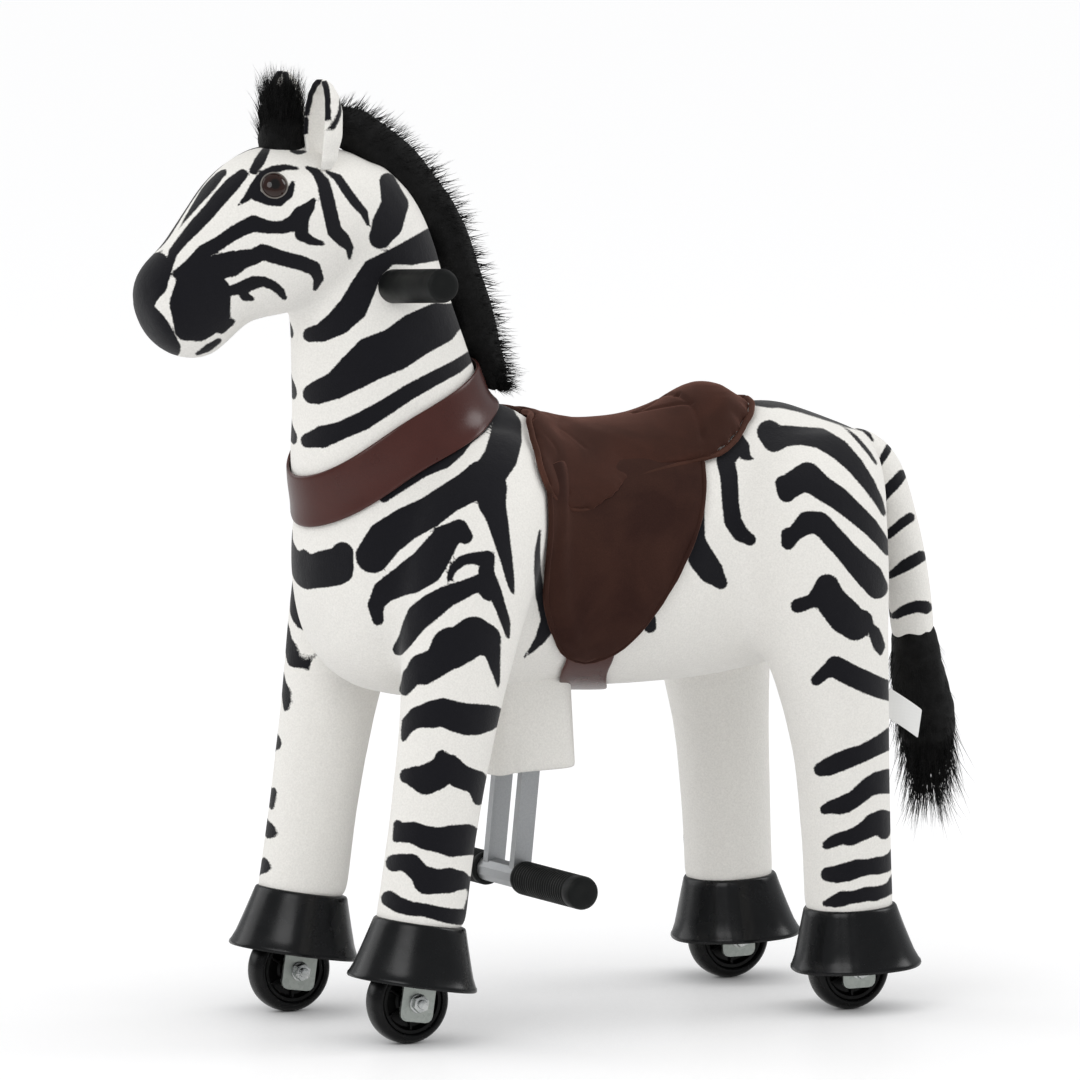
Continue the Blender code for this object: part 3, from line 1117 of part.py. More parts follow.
def make_neck_and_head():
    obj = object_from(neck(), "neck_plush", "plush", COLUMN)
    boolean(obj, cutter_from(head(PLUSH_GAP), "head_for_neck"))
    top = column_point(HANDLEBAR_HEIGHT)
    cut(obj, rod(column_point(NECK_CUT_HEIGHT - OVERRUN), top + Vector(COLUMN_AXIS) * HANDLEBAR_RADIUS, COLUMN_RADIUS + PLUSH_GAP), "column_bore_neck")
    half = HANDLEBAR_SPAN / 2
    for name, side in SIDES:
        out = top + Vector((side * half, 0, half * math.tan(HANDLEBAR_RISE)))
        cut(obj, rod(top, out, HANDLEBAR_RADIUS + PLUSH_GAP), f"handlebar_bore_{name}")
        start = out + (top - out).normalized() * (HAND_GRIP_LENGTH + PLUSH_GAP)
        cut(obj, rod(start, out, GRIP_RADIUS + PLUSH_GAP), f"grip_bore_{name}")
    obj = object_from(head(), "head_plush", "plush", COLUMN)
    cut(obj, rod(column_point(NECK_CUT_HEIGHT), column_point(HANDLEBAR_HEIGHT + COLUMN_RADIUS), COLUMN_RADIUS + RUNNING_GAP * 2), "column_bore_head")
    for name, side in SIDES:
        cut(obj, eye_ball(side, EYE_RADIUS + PLUSH_GAP / 2), f"eye_socket_{name}")
        object_from(eye_ball(side, EYE_RADIUS), f"eye_{name}", "glass_eye", COLUMN)
        ear = object_from(ear_shape(side), f"ear_{name}", "plush", COLUMN)
        boolean(ear, cutter_from(head(PLUSH_GAP), f"head_for_ear_{name}"))


def eye_ball(side, radius):
    forward = Vector((0, -math.cos(HEAD_DIP), -math.sin(HEAD_DIP)))
    upward = Vector((0, forward.z, -forward.y))
    centre = at(HEAD_BACK, HEAD_HEIGHT, side * HEAD_HALF_WIDTH * 0.60) + forward * EYE_ALONG + upward * (EYE_RISE - EYE_RADIUS * 0.5)
    bm = bmesh.new()
    bmesh.ops.create_uvsphere(bm, u_segments=10, v_segments=6, radius=radius, matrix=Matrix.Translation(centre))
    return bm


def ear_shape(side):
    rows = [(EAR_BACK - s * EAR_DEPTH * 0.3, EAR_FOOT_HEIGHT + s * EAR_LENGTH, w * EAR_WIDTH / 2, d * EAR_DEPTH / 2) for s, w, d in EAR_SHARES]
    bm = soft_loft(rows, 8, 12, 2.0, 0.0, (0.0, 1.0))
    foot = at(EAR_BACK, EAR_FOOT_HEIGHT)
    turn = Matrix.Rotation(side * EAR_SPREAD, 4, "Y")
    place = Matrix.Translation(foot + Vector((side * EAR_SIDE, 0, 0))) @ turn @ Matrix.Translation(-foot)
    bmesh.ops.transform(bm, matrix=place, verts=bm.verts)
    return bm


def make_hair():
    rows = [
        (MANE_TOP_BACK + run * MANE_RUN, MANE_BOTTOM_HEIGHT + rise * MANE_FALL, w * MANE_HALF_WIDTH, w * MANE_HALF_DEPTH)
        for run, rise, w in MANE_SHARES
    ]
    obj = object_from(soft_loft(rows, 14, 12, 2.0), "mane", "black_fur", COLUMN)
    boolean(obj, cutter_from(head(PLUSH_GAP), "head_for_mane"))
    boolean(obj, cutter_from(neck(PLUSH_GAP), "neck_for_mane"))
    below = column_block(False)
    bmesh.ops.translate(below, verts=below.verts, vec=Vector(COLUMN_AXIS) * RUNNING_GAP)
    cut(obj, below, "mane_end_cut")
    centre = at(FORELOCK_BACK, FORELOCK_HEIGHT)
    bm = bmesh.new()
    shape = Matrix.Translation(centre) @ Matrix.Diagonal((1.0, 1.1, 1.6, 1.0))
    bmesh.ops.create_uvsphere(bm, u_segments=12, v_segments=8, radius=FORELOCK_RADIUS, matrix=shape)
    obj = object_from(bm, "forelock", "black_fur", COLUMN)
    boolean(obj, cutter_from(head(PLUSH_GAP), "head_for_forelock"))


FORELOCK_BACK = -0.062
FORELOCK_HEIGHT = 0.752


def make_tail():
    rows = [(TAIL_ROOT_BACK + (s ** 0.75) * TAIL_RUN, TAIL_ROOT_HEIGHT - (1 - h) * TAIL_FALL, w * TAIL_RADIUS, w * TAIL_RADIUS) for s, h, w in TAIL_SHARES]
    obj = object_from(soft_loft(rows, 10, 12, 2.0), "tail", "plush")
    boolean(obj, cutter_from(trunk(PLUSH_GAP), "trunk_for_tail"))
    foot = rows[-1]
    tuft_rows = [(foot[0] + shift * TUFT_FALL * 0.3, foot[1] - SEAT_GAP * 2 - (1 - h) * TUFT_FALL, w * TUFT_RADIUS * 0.85, w * TUFT_RADIUS) for shift, h, w in TUFT_SHARES]
    below = at(0.0, foot[1] - TAIL_FALL, -TRACK), at(TRUNK_LENGTH * 2, foot[1], TRACK)
    cut(obj, box(*below), "tail_end_cut")
    object_from(soft_loft(tuft_rows, 9, 12, 2.0, 0.0, (0.0, -1.0)), "tail_tuft", "black_fur")


make_barrel()
make_pan()
make_chest()
make_legs()
make_hooves()
make_neck_and_head()
make_hair()
make_tail()


# Tack: each band, flap or tab is a skin cut out of the plush form that it lies on.


def skin(make_form, name, kind, inner, outer, region, parent=None):
    """A skin between two swells of a form, kept only inside a region."""
    obj = object_from(make_form(outer), name, kind, parent)
    boolean(obj, cutter_from(make_form(inner), f"{name}_inside"))
    boolean(obj, cutter_from(region, f"{name}_region"), "INTERSECT")
    return obj


def collar_form(swell):
    """The neck's root drawn out through the collar, as one taper."""
    rows = [column_row(s, NECK_LENGTH, w * NECK_HALF_WIDTH, d * NECK_HALF_DEPTH) for s, w, d in NECK_BASE_SHARES]
    return soft_loft(rows, 6, SOFT_ROUND, 2.0, swell, lean=COLUMN_AXIS[1:])


def make_collar():
    """The wide band round the foot of the neck, lower in front than behind."""
    bm = bmesh.new()
    half = COLLAR_WIDTH / 2
    size = NECK_LENGTH * 2
    bmesh.ops.create_cube(bm, size=1.0, matrix=Matrix.Diagonal((size, size, half * 2, 1.0)))
    place = Matrix.Translation(at(COLLAR_BACK, COLLAR_HEIGHT)) @ Matrix.Rotation(COLLAR_TILT, 4, "X")
    bmesh.ops.transform(bm, matrix=place, verts=bm.verts)
    obj = skin(collar_form, "neck_collar", "leatherette", PLUSH_GAP, PLUSH_GAP + TACK_THICKNESS, bm, SWING)
    boolean(obj, cutter_from(trunk(PLUSH_GAP), "trunk_for_collar"))
    boolean(obj, cutter_from(column_block(True), "neck_for_collar"))
    boolean(obj, cutter_from(split_half(False, SPLIT_GAP - RUNNING_GAP * 2), "split_for_collar"))


# Corners of the flap and of the seat, as shares of their length behind their front and of their depth above their bottom.
FLAP_CORNER_SHARES = ((0.06, 1.00), (0.00, 0.60), (0.03, 0.33), (0.12, 0.13), (0.22, 0.02), (0.36, 0.00), (0.50, 0.03), (0.64, 0.20), (0.83, 0.52), (0.97, 0.85), (1.00, 1.00))
SEAT_CORNER_SHARES = (
    (0.04, 1.10), (0.00, 0.60), (0.00, 0.30), (0.04, 0.13), (0.09, 0.03), (0.18, 0.00), (0.27, 0.08), (0.37, 0.22),
    (0.47, 0.31), (0.57, 0.32), (0.69, 0.30), (0.75, 0.35), (0.87, 0.51), (0.97, 0.66), (1.00, 0.78), (1.00, 1.10),
)


def flap_outline():
    return [(FLAP_FRONT_BACK + b * FLAP_LENGTH, FLAP_BOTTOM + h * FLAP_DEPTH) for b, h in FLAP_CORNER_SHARES]


def seat_outline(gap=0.0):
    """The seat from the side. A gap moves its lower edge down."""
    return [(SEAT_FRONT_BACK + b * SEAT_LENGTH, SEAT_BOTTOM - gap + h * SEAT_RISE) for b, h in SEAT_CORNER_SHARES]


def make_flaps():
    """Each flap shows below the seat's edge."""
    for name, side in SIDES:
        region = outline_plate(flap_outline(), side * SEAT_HALF_WIDTH * 0.5, side * TRUNK_WIDTH)
        obj = skin(trunk, f"saddle_flap_{name}", "suede", PLUSH_GAP + TACK_THICKNESS, PLUSH_GAP + TACK_THICKNESS * 2, region)
        boolean(obj, cutter_from(outline_plate(seat_outline(PLUSH_GAP), 0.0, side * TRUNK_WIDTH * 1.5), f"seat_for_flap_{name}"))


def make_girth():
    """The strap under the belly: it slants back from under the flaps, so that it clears the sleeve."""
    half = GIRTH_WIDTH / 2
    top, bottom = FLAP_BOTTOM + GIRTH_WIDTH, BELLY_HEIGHT - GIRTH_DROP
    slant = SLEEVE_BACK + SLEEVE_HALF_LENGTH + half + PLUSH_GAP * 2
    points = [(GIRTH_BACK - half, top), (GIRTH_BACK - half, FLAP_BOTTOM), (slant - half, BELLY_HEIGHT + TACK_THICKNESS * 2), (slant - half, bottom)]
    points += [(slant + half, bottom), (slant + half, BELLY_HEIGHT + TACK_THICKNESS * 2), (GIRTH_BACK + half, FLAP_BOTTOM), (GIRTH_BACK + half, top)]
    region = outline_plate(points, -TRUNK_WIDTH, TRUNK_WIDTH)
    obj = skin(trunk, "girth_strap", "leatherette", PLUSH_GAP * 2, TACK_THICKNESS, region)
    boolean(obj, cutter_from(sleeve_block(PLUSH_GAP), "sleeve_for_girth"))


def sleeve_block(swell=0.0):
    half_width, half_length = SLEEVE_HALF_WIDTH + swell, SLEEVE_HALF_LENGTH + swell
    return box(at(SLEEVE_BACK - half_length, SLEEVE_BOTTOM, -half_width), at(SLEEVE_BACK + half_length, SWING_HEIGHT, half_width))


def make_sleeve():
    """The short plush skirt round the hanger, open above and below."""
    obj = object_from(sleeve_block(), "hanger_sleeve", "plush")
    inner = box(
        at(SLEEVE_BACK - SLEEVE_HALF_LENGTH + SLEEVE_WALL, SLEEVE_BOTTOM - OVERRUN, -SLEEVE_HALF_WIDTH + SLEEVE_WALL),
        at(SLEEVE_BACK + SLEEVE_HALF_LENGTH - SLEEVE_WALL, SWING_HEIGHT + OVERRUN, SLEEVE_HALF_WIDTH - SLEEVE_WALL),
    )
    cut(obj, inner, "sleeve_inside")
    boolean(obj, cutter_from(trunk(PLUSH_GAP), "trunk_for_sleeve"))


def trunk_top(back):
    """The height of the trunk's top at a place along it."""
    share = (back - TRUNK_FRONT_BACK) / TRUNK_LENGTH
    for (b0, h0, _, d0), (b1, h1, _, d1) in zip(TRUNK_SHARES, TRUNK_SHARES[1:]):
        if share <= b1:
            t = (share - b0) / (b1 - b0)
            return BELLY_HEIGHT + TRUNK_DEPTH * ((h0 + d0) * (1 - t) + (h1 + d1) * t)
    return BELLY_HEIGHT


def make_seat():
    """The padded seat, which wraps over the barrel and rises into the rolled cantle behind the rider."""
    obj = object_from(trunk(PLUSH_GAP + SEAT_THICKNESS), "saddle_seat", "suede")
    boolean(obj, cutter_from(outline_plate(seat_outline(), -TRUNK_WIDTH, TRUNK_WIDTH), "seat_region"), "INTERSECT")
    bm = bmesh.new()
    half_depth = CANTLE_RISE * 1.8
    centre = at(CANTLE_BACK, trunk_top(CANTLE_BACK) + CANTLE_RISE - half_depth)
    shape = Matrix.Translation(centre) @ Matrix.Diagonal((CANTLE_HALF_WIDTH, CANTLE_HALF_LENGTH, half_depth, 1.0))
    bmesh.ops.create_uvsphere(bm, u_segments=SOFT_ROUND, v_segments=8, radius=1.0, matrix=shape)
    boolean(obj, cutter_from(bm, "cantle"), "UNION")
    boolean(obj, cutter_from(trunk(PLUSH_GAP), "trunk_for_seat"))


make_collar()
make_seat()
make_flaps()
make_girth()
make_sleeve()
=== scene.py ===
# %% [markdown]
# # A plush ride-on zebra
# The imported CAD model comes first, as a frame that never moves. Every soft form, strap and wheel below is built
# round it, in metres, with +Z up and the animal facing -Y.

import json
import math
import random

import bmesh
import bpy
import numpy as np
from mathutils import Matrix, Vector, noise

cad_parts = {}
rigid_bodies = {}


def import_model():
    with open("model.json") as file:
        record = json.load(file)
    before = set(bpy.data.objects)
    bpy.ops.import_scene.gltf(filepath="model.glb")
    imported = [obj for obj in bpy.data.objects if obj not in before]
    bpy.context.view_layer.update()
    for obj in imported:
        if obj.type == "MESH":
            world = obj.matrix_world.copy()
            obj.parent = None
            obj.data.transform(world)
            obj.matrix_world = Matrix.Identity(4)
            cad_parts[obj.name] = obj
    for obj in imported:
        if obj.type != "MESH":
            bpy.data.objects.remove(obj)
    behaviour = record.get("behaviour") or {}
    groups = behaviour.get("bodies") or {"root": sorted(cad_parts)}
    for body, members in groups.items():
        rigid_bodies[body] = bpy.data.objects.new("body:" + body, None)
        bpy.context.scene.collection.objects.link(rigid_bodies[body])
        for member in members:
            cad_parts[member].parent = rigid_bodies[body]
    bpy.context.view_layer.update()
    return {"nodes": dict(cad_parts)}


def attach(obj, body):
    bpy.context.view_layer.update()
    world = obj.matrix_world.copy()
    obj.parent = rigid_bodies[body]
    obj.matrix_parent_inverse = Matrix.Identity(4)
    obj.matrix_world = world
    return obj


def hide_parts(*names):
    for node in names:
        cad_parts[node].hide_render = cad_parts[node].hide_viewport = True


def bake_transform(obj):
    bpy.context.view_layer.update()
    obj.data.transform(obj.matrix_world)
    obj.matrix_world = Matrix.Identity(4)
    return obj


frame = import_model()
NODES = frame["nodes"]

# %% [markdown]
# ## Camera
# The view is from the animal's left front quarter and a little above, through a long lens, so the near and the
# far legs keep almost the same size.

# %% Camera
FRONT_AXLE_Y = -0.187
AZIMUTH, ELEVATION = math.radians(61.7), math.radians(7.6)
CAMERA_DISTANCE, CAMERA_LENS = 30.0, 1222.0
LOOK_AT = Vector((-0.0002, -0.0084, 0.3901))
BACKWARD = Vector((math.sin(AZIMUTH) * math.cos(ELEVATION), -math.cos(AZIMUTH) * math.cos(ELEVATION),
    math.sin(ELEVATION)))

lens = bpy.data.cameras.new("camera")
lens.lens, lens.sensor_width = CAMERA_LENS, 36.0
lens.clip_end = 60.0
camera = bpy.data.objects.new("camera", lens)
camera.location = LOOK_AT + BACKWARD * CAMERA_DISTANCE
camera.rotation_mode = "QUATERNION"
camera.rotation_quaternion = (-BACKWARD).to_track_quat("-Z", "Y")
bpy.context.scene.collection.objects.link(camera)
bpy.context.scene.camera = camera


def at(back, height, side=0.0):
    """A point in metres from millimetres: behind the front axle, above the floor, to the animal's left."""
    return Vector((side / 1000, FRONT_AXLE_Y + back / 1000, height / 1000))


# %% [markdown]
# ## Light and floor
# A big soft lamp in front on each side and one behind give the plain studio light of a catalogue. The camera sees
# a white world, while glossy surfaces mirror a darker one, so that black plastic stays black. The floor glows for
# the camera except where something stands close over it, which leaves a soft shadow under the wheels.

# %% Light and floor
scene = bpy.context.scene
scene.view_settings.view_transform = "Standard"


def linear(hex_colour):
    """Turns an sRGB hex colour into the linear values that a shader reads."""
    channels = [int(hex_colour[i : i + 2], 16) / 255 for i in (0, 2, 4)]
    return (*(c / 12.92 if c <= 0.04045 else ((c + 0.055) / 1.055) ** 2.4 for c in channels), 1.0)


def node(tree, kind, inputs=None, **settings):
    """Adds one node. Each input is given a value, or the output of another node to link."""
    made = tree.nodes.new(kind)
    for name, value in settings.items():
        setattr(made, name, value)
    for socket, value in (inputs or {}).items():
        if isinstance(value, bpy.types.NodeSocket):
            tree.links.new(value, made.inputs[socket])
        else:
            made.inputs[socket].default_value = value
    return made


def soft_lamp(name, place, size, watts, aim=(0, 0, 0.4)):
    data = bpy.data.lights.new(name, "AREA")
    data.shape, data.size, data.energy = "DISK", size, watts
    lamp = bpy.data.objects.new(name, data)
    lamp.location = place
    lamp.rotation_mode = "QUATERNION"
    lamp.rotation_quaternion = (Vector(aim) - Vector(place)).to_track_quat("-Z", "Y")
    scene.collection.objects.link(lamp)


soft_lamp("key", (2.0, -2.6, 2.6), 2.2, 34)
soft_lamp("fill", (-2.4, -1.8, 1.6), 2.6, 20)
soft_lamp("rim", (0.6, 2.8, 2.4), 2.0, 30)

LIT_STRENGTH, SHOWN_STRENGTH, MIRRORED_STRENGTH = 0.85, 1.0, 0.42
FLOOR_GLOW_SHARE, FLOOR_GLOW_STRENGTH, SHADOW_REACH = 0.45, 1.46, 0.8

world = bpy.data.worlds.new("studio")
scene.world = world
world.use_nodes = True
tree = world.node_tree
tree.nodes.clear()
path = node(tree, "ShaderNodeLightPath")
lit = node(tree, "ShaderNodeBackground", {"Color": linear("F4F4F2"), "Strength": LIT_STRENGTH})
shown = node(tree, "ShaderNodeBackground", {"Color": linear("FEFEFE"), "Strength": SHOWN_STRENGTH})
mirrored = node(tree, "ShaderNodeBackground", {"Color": linear("F4F6F8"), "Strength": MIRRORED_STRENGTH})
lights = node(tree, "ShaderNodeMixShader", {0: path.outputs["Is Glossy Ray"], 1: lit.outputs[0],
    2: mirrored.outputs[0]})
both = node(tree, "ShaderNodeMixShader", {0: path.outputs["Is Camera Ray"], 1: lights.outputs[0],
    2: shown.outputs[0]})
node(tree, "ShaderNodeOutputWorld", {"Surface": both.outputs[0]})

bm = bmesh.new()
bmesh.ops.create_grid(bm, x_segments=2, y_segments=2, size=14.0)
mesh = bpy.data.meshes.new("floor")
bm.to_mesh(mesh)
bm.free()
floor = bpy.data.objects.new("floor", mesh)
scene.collection.objects.link(floor)
ground = bpy.data.materials.new("white_paper_floor")
ground.use_nodes = True
tree = ground.node_tree
tree.nodes.clear()
path = node(tree, "ShaderNodeLightPath")
seen = node(tree, "ShaderNodeMath", {0: path.outputs["Is Camera Ray"], 1: FLOOR_GLOW_SHARE}, operation="MULTIPLY")
paper = node(tree, "ShaderNodeBsdfPrincipled", {"Base Color": linear("F6F6F7"), "Roughness": 0.35})
open_sky = node(tree, "ShaderNodeAmbientOcclusion", {"Distance": SHADOW_REACH}).outputs["AO"]
shown = node(tree, "ShaderNodeMath", {0: open_sky, 1: FLOOR_GLOW_STRENGTH}, operation="MULTIPLY").outputs[0]
glow = node(tree, "ShaderNodeEmission", {"Color": linear("FDFDFE"), "Strength": shown})
both = node(tree, "ShaderNodeMixShader", {0: seen.outputs[0], 1: paper.outputs[0], 2: glow.outputs[0]})
node(tree, "ShaderNodeOutputMaterial", {"Surface": both.outputs[0]})
mesh.materials.append(ground)

# %% [markdown]
# ## Stuffed forms
# The animal is foam in a plush skin, so its limbs run into each other in soft hollows. Each limb starts as one
# circle that is extruded from row to row. The limbs are then fused with a voxel remesh, which melts the corners
# where they meet, and smoothed.

# %% A limb from a circle
def smooth_rows(rows, count):
    """Reads a smooth curve through rows of numbers at even steps."""
    last = len(rows) - 1
    read = []
    for k in range(count):
        place = last * k / (count - 1)
        i = min(int(place), last - 1)
        t = place - i
        p0, p1, p2, p3 = rows[max(i - 1, 0)], rows[i], rows[i + 1], rows[min(i + 2, last)]
        read.append([
            0.5 * (2 * b + (c - a) * t + (2 * a - 5 * b + 4 * c - d) * t**2 + (3 * b - a - 3 * c + d) * t**3)
            for a, b, c, d in zip(p0, p1, p2, p3)
        ])
    return read


def ring_matrix(centre, along, half_width, half_depth):
    """Places a unit circle square to a direction in the animal's middle plane, with its width along X."""
    along = Vector(along).normalized()
    up = along.cross(Vector((1, 0, 0)))
    turn = Matrix((Vector((1, 0, 0)) * half_width, up * half_depth, along)).transposed()
    return Matrix.Translation(centre) @ turn.to_4x4()


def limb(rows, count=24, around=32, along=None, fullness=0.0):
    """A closed limb through rows of (back, height, side, half width, half depth), in millimetres."""
    rows = smooth_rows(rows, count)
    bm = bmesh.new()
    ring = bmesh.ops.create_circle(bm, cap_ends=False, segments=around, radius=1.0)["verts"]
    if fullness:
        for vert in ring:
            vert.co *= 1 + fullness * math.sin(2 * math.atan2(vert.co.y, vert.co.x)) ** 2
    edges = list({edge for vert in ring for edge in vert.link_edges})
    place = Matrix.Identity(4)
    loops = []
    for i, (back, height, side, half_width, half_depth) in enumerate(rows):
        before, after = rows[max(i - 1, 0)], rows[min(i + 1, count - 1)]
        heading = along or (0, after[0] - before[0], after[1] - before[1])
        target = ring_matrix(at(back, height, side), heading, half_width / 1000, half_depth / 1000)
        if i:
            grown = bmesh.ops.extrude_edge_only(bm, edges=edges)["geom"]
            ring = [item for item in grown if isinstance(item, bmesh.types.BMVert)]
            edges = [item for item in grown if isinstance(item, bmesh.types.BMEdge)]
        bmesh.ops.transform(bm, matrix=target @ place.inverted(), verts=ring)
        place = target
    bmesh.ops.holes_fill(bm, edges=[edge for edge in bm.edges if edge.is_boundary], sides=0)
    bmesh.ops.recalc_face_normals(bm, faces=bm.faces)
    return bm


def piece_from(bm, name):
    mesh = bpy.data.meshes.new(name)
    bm.to_mesh(mesh)
    bm.free()
    mesh.shade_smooth()
    made = bpy.data.objects.new(name, mesh)
    scene.collection.objects.link(made)
    return made


def gathered(limbs, name):
    """Puts several closed limbs into one mesh, still overlapping."""
    whole = bmesh.new()
    for bm in limbs:
        mesh = bpy.data.meshes.new("part")
        bm.to_mesh(mesh)
        bm.free()
        whole.from_mesh(mesh)
        bpy.data.meshes.remove(mesh)
    return piece_from(whole, name)


def settle(piece):
    """Applies every modifier on a piece to its mesh."""
    graph = bpy.context.evaluated_depsgraph_get()
    mesh = bpy.data.meshes.new_from_object(piece.evaluated_get(graph))
    piece.modifiers.clear()
    piece.data = mesh
    mesh.shade_smooth()
    return piece


def melt(piece, voxel, rounds, coarse=None, coarse_rounds=0):
    """Fuses overlapping limbs into one skin of even squares and smooths their joins."""
    for size, count in ((coarse, coarse_rounds), (voxel, rounds)):
        if size is None:
            continue
        remesh = piece.modifiers.new("remesh", "REMESH")
        remesh.mode, remesh.voxel_size = "VOXEL", size / 1000
        if count:
            soften = piece.modifiers.new("soften", "SMOOTH")
            soften.factor, soften.iterations = 0.5, count
        settle(piece)
    return piece


# %% [markdown]
# ## The body
# Chest, barrel, four legs and the foot of the neck are one skin.

# %% Body
def leg(rows, sign):
    """A leg on one side. sign is 1 for the left."""
    return limb([(b, h, sign * x, w, d) for b, h, x, w, d in rows], 26, 32, (0, 0, 1))


def foreleg_back(height):
    return (height - 35) * math.tan(math.radians(8.4))


BARREL = [
    (-40, 388, 0, 16, 30), (-22, 385, 0, 58, 78), (8, 383, 0, 82, 103), (63, 386, 0, 93, 118),
    (116, 388, 0, 97, 121),
    (144, 386, 0, 98, 119), (164, 380, 0, 98, 110), (186, 376, 0, 98, 105), (232, 371, 0, 99, 103),
    (316, 375, 0, 99, 106), (385, 386, 0, 98, 108), (420, 384, 0, 93, 101),
    (446, 386, 0, 82, 89), (468, 393, 0, 62, 73), (482, 402, 0, 36, 55), (491, 408, 0, 14, 30),
]
FORELEG = [(foreleg_back(h) + lift, h, x, w, d) for h, lift, x, w, d in (
    (90, 3, 103, 38, 38), (150, 3, 103, 37, 37), (210, 4, 103, 36, 39), (270, 6, 102, 38, 43), (330, 9, 98, 42, 51),
    (385, 14, 92, 45, 59), (430, 20, 82, 44, 60), (470, 26, 66, 36, 48), (492, 30, 54, 18, 26),
)]
HINDLEG = [
    (411, 76, 103, 37, 37), (409, 120, 103, 37, 37), (407, 160, 103, 38, 38), (404, 205, 103, 39, 40),
    (398, 255, 102, 42, 46),
    (389, 310, 99, 46, 56), (383, 365, 93, 48, 66), (383, 415, 82, 46, 70), (393, 452, 68, 38, 60),
    (410, 474, 56, 20, 34),
]
NECK_FOOT = [(62, 404, 0, 74, 84), (50, 440, 0, 73, 88), (40, 480, 0, 69, 88), (33, 520, 0, 65, 79),
    (28, 548, 0, 60, 73)]

body = gathered(
    [limb(BARREL, 30, 40, (0, 1, 0), 0.03), limb(NECK_FOOT, 10, 36, (0, -0.208, 0.978))]
    + [leg(rows, sign) for rows in (FORELEG, HINDLEG) for sign in (1, -1)],
    "body_plush",
)
melt(body, 3.6, 10, 8.0, 5)
print("body:", len(body.data.vertices), "vertices")

# %% [markdown]
# ## Neck and head
# The neck rises out of the collar and runs into the jaw. The head is a wedge with a round muzzle, full cheeks
# and a shallow hollow for each eye.

# %% Neck and head
NECK = [
    (37, 500, 0, 66, 84), (33, 524, 0, 65, 79), (26, 560, 0, 61, 73), (18, 600, 0, 56, 67), (7, 640, 0, 51, 66),
    (-6, 674, 0, 46, 61), (-18, 702, 0, 36, 46),
]
HEAD_DIP = math.radians(21.2)


def head_row(along, rise, half_depth, half_width):
    """A row of the head, from millimetres along its own slope and above its own middle line."""
    back = -20 - along * math.cos(HEAD_DIP) - rise * math.sin(HEAD_DIP)
    height = 665 - along * math.sin(HEAD_DIP) + rise * math.cos(HEAD_DIP)
    return (back, height, 0, half_width, half_depth)


HEAD = [head_row(*row) for row in (
    (-60, 2, 14, 14), (-50, 1, 32, 30), (-30, 2, 51, 44), (0, 6, 64, 53), (32, 12.5, 69, 57), (62, 13, 67, 54),
    (84, 12.5, 61, 48),
    (102, 9, 55, 43), (120, 1, 53, 39), (139, -7, 50, 37), (155, -8, 45.5, 36), (168, -7, 37, 33),
    (177, -7, 25, 25), (181, -7, 11, 11),
)]
SNOUT_ALONG = (0, -math.cos(HEAD_DIP), -math.sin(HEAD_DIP))
head = gathered([limb(NECK, 14, 36, (0, -0.208, 0.978)), limb(HEAD, 26, 36, SNOUT_ALONG, 0.03)], "head_plush_skin")
melt(head, 2.6, 10, 6.0, 4)
print("head:", len(head.data.vertices), "vertices")

# %% [markdown]
# ## Stripes
# The black stripes of such a toy are sprayed on white pile through a stencil, from the side. Here each stripe is
# a brush stroke on a stencil plane that faces the camera: along the animal, up, and the brush's radius, all in
# millimetres. Every point of a skin stores how far it lies from the nearest stroke's edge, and the material
# turns that smooth distance into a crisp edge. The right side mirrors the left.

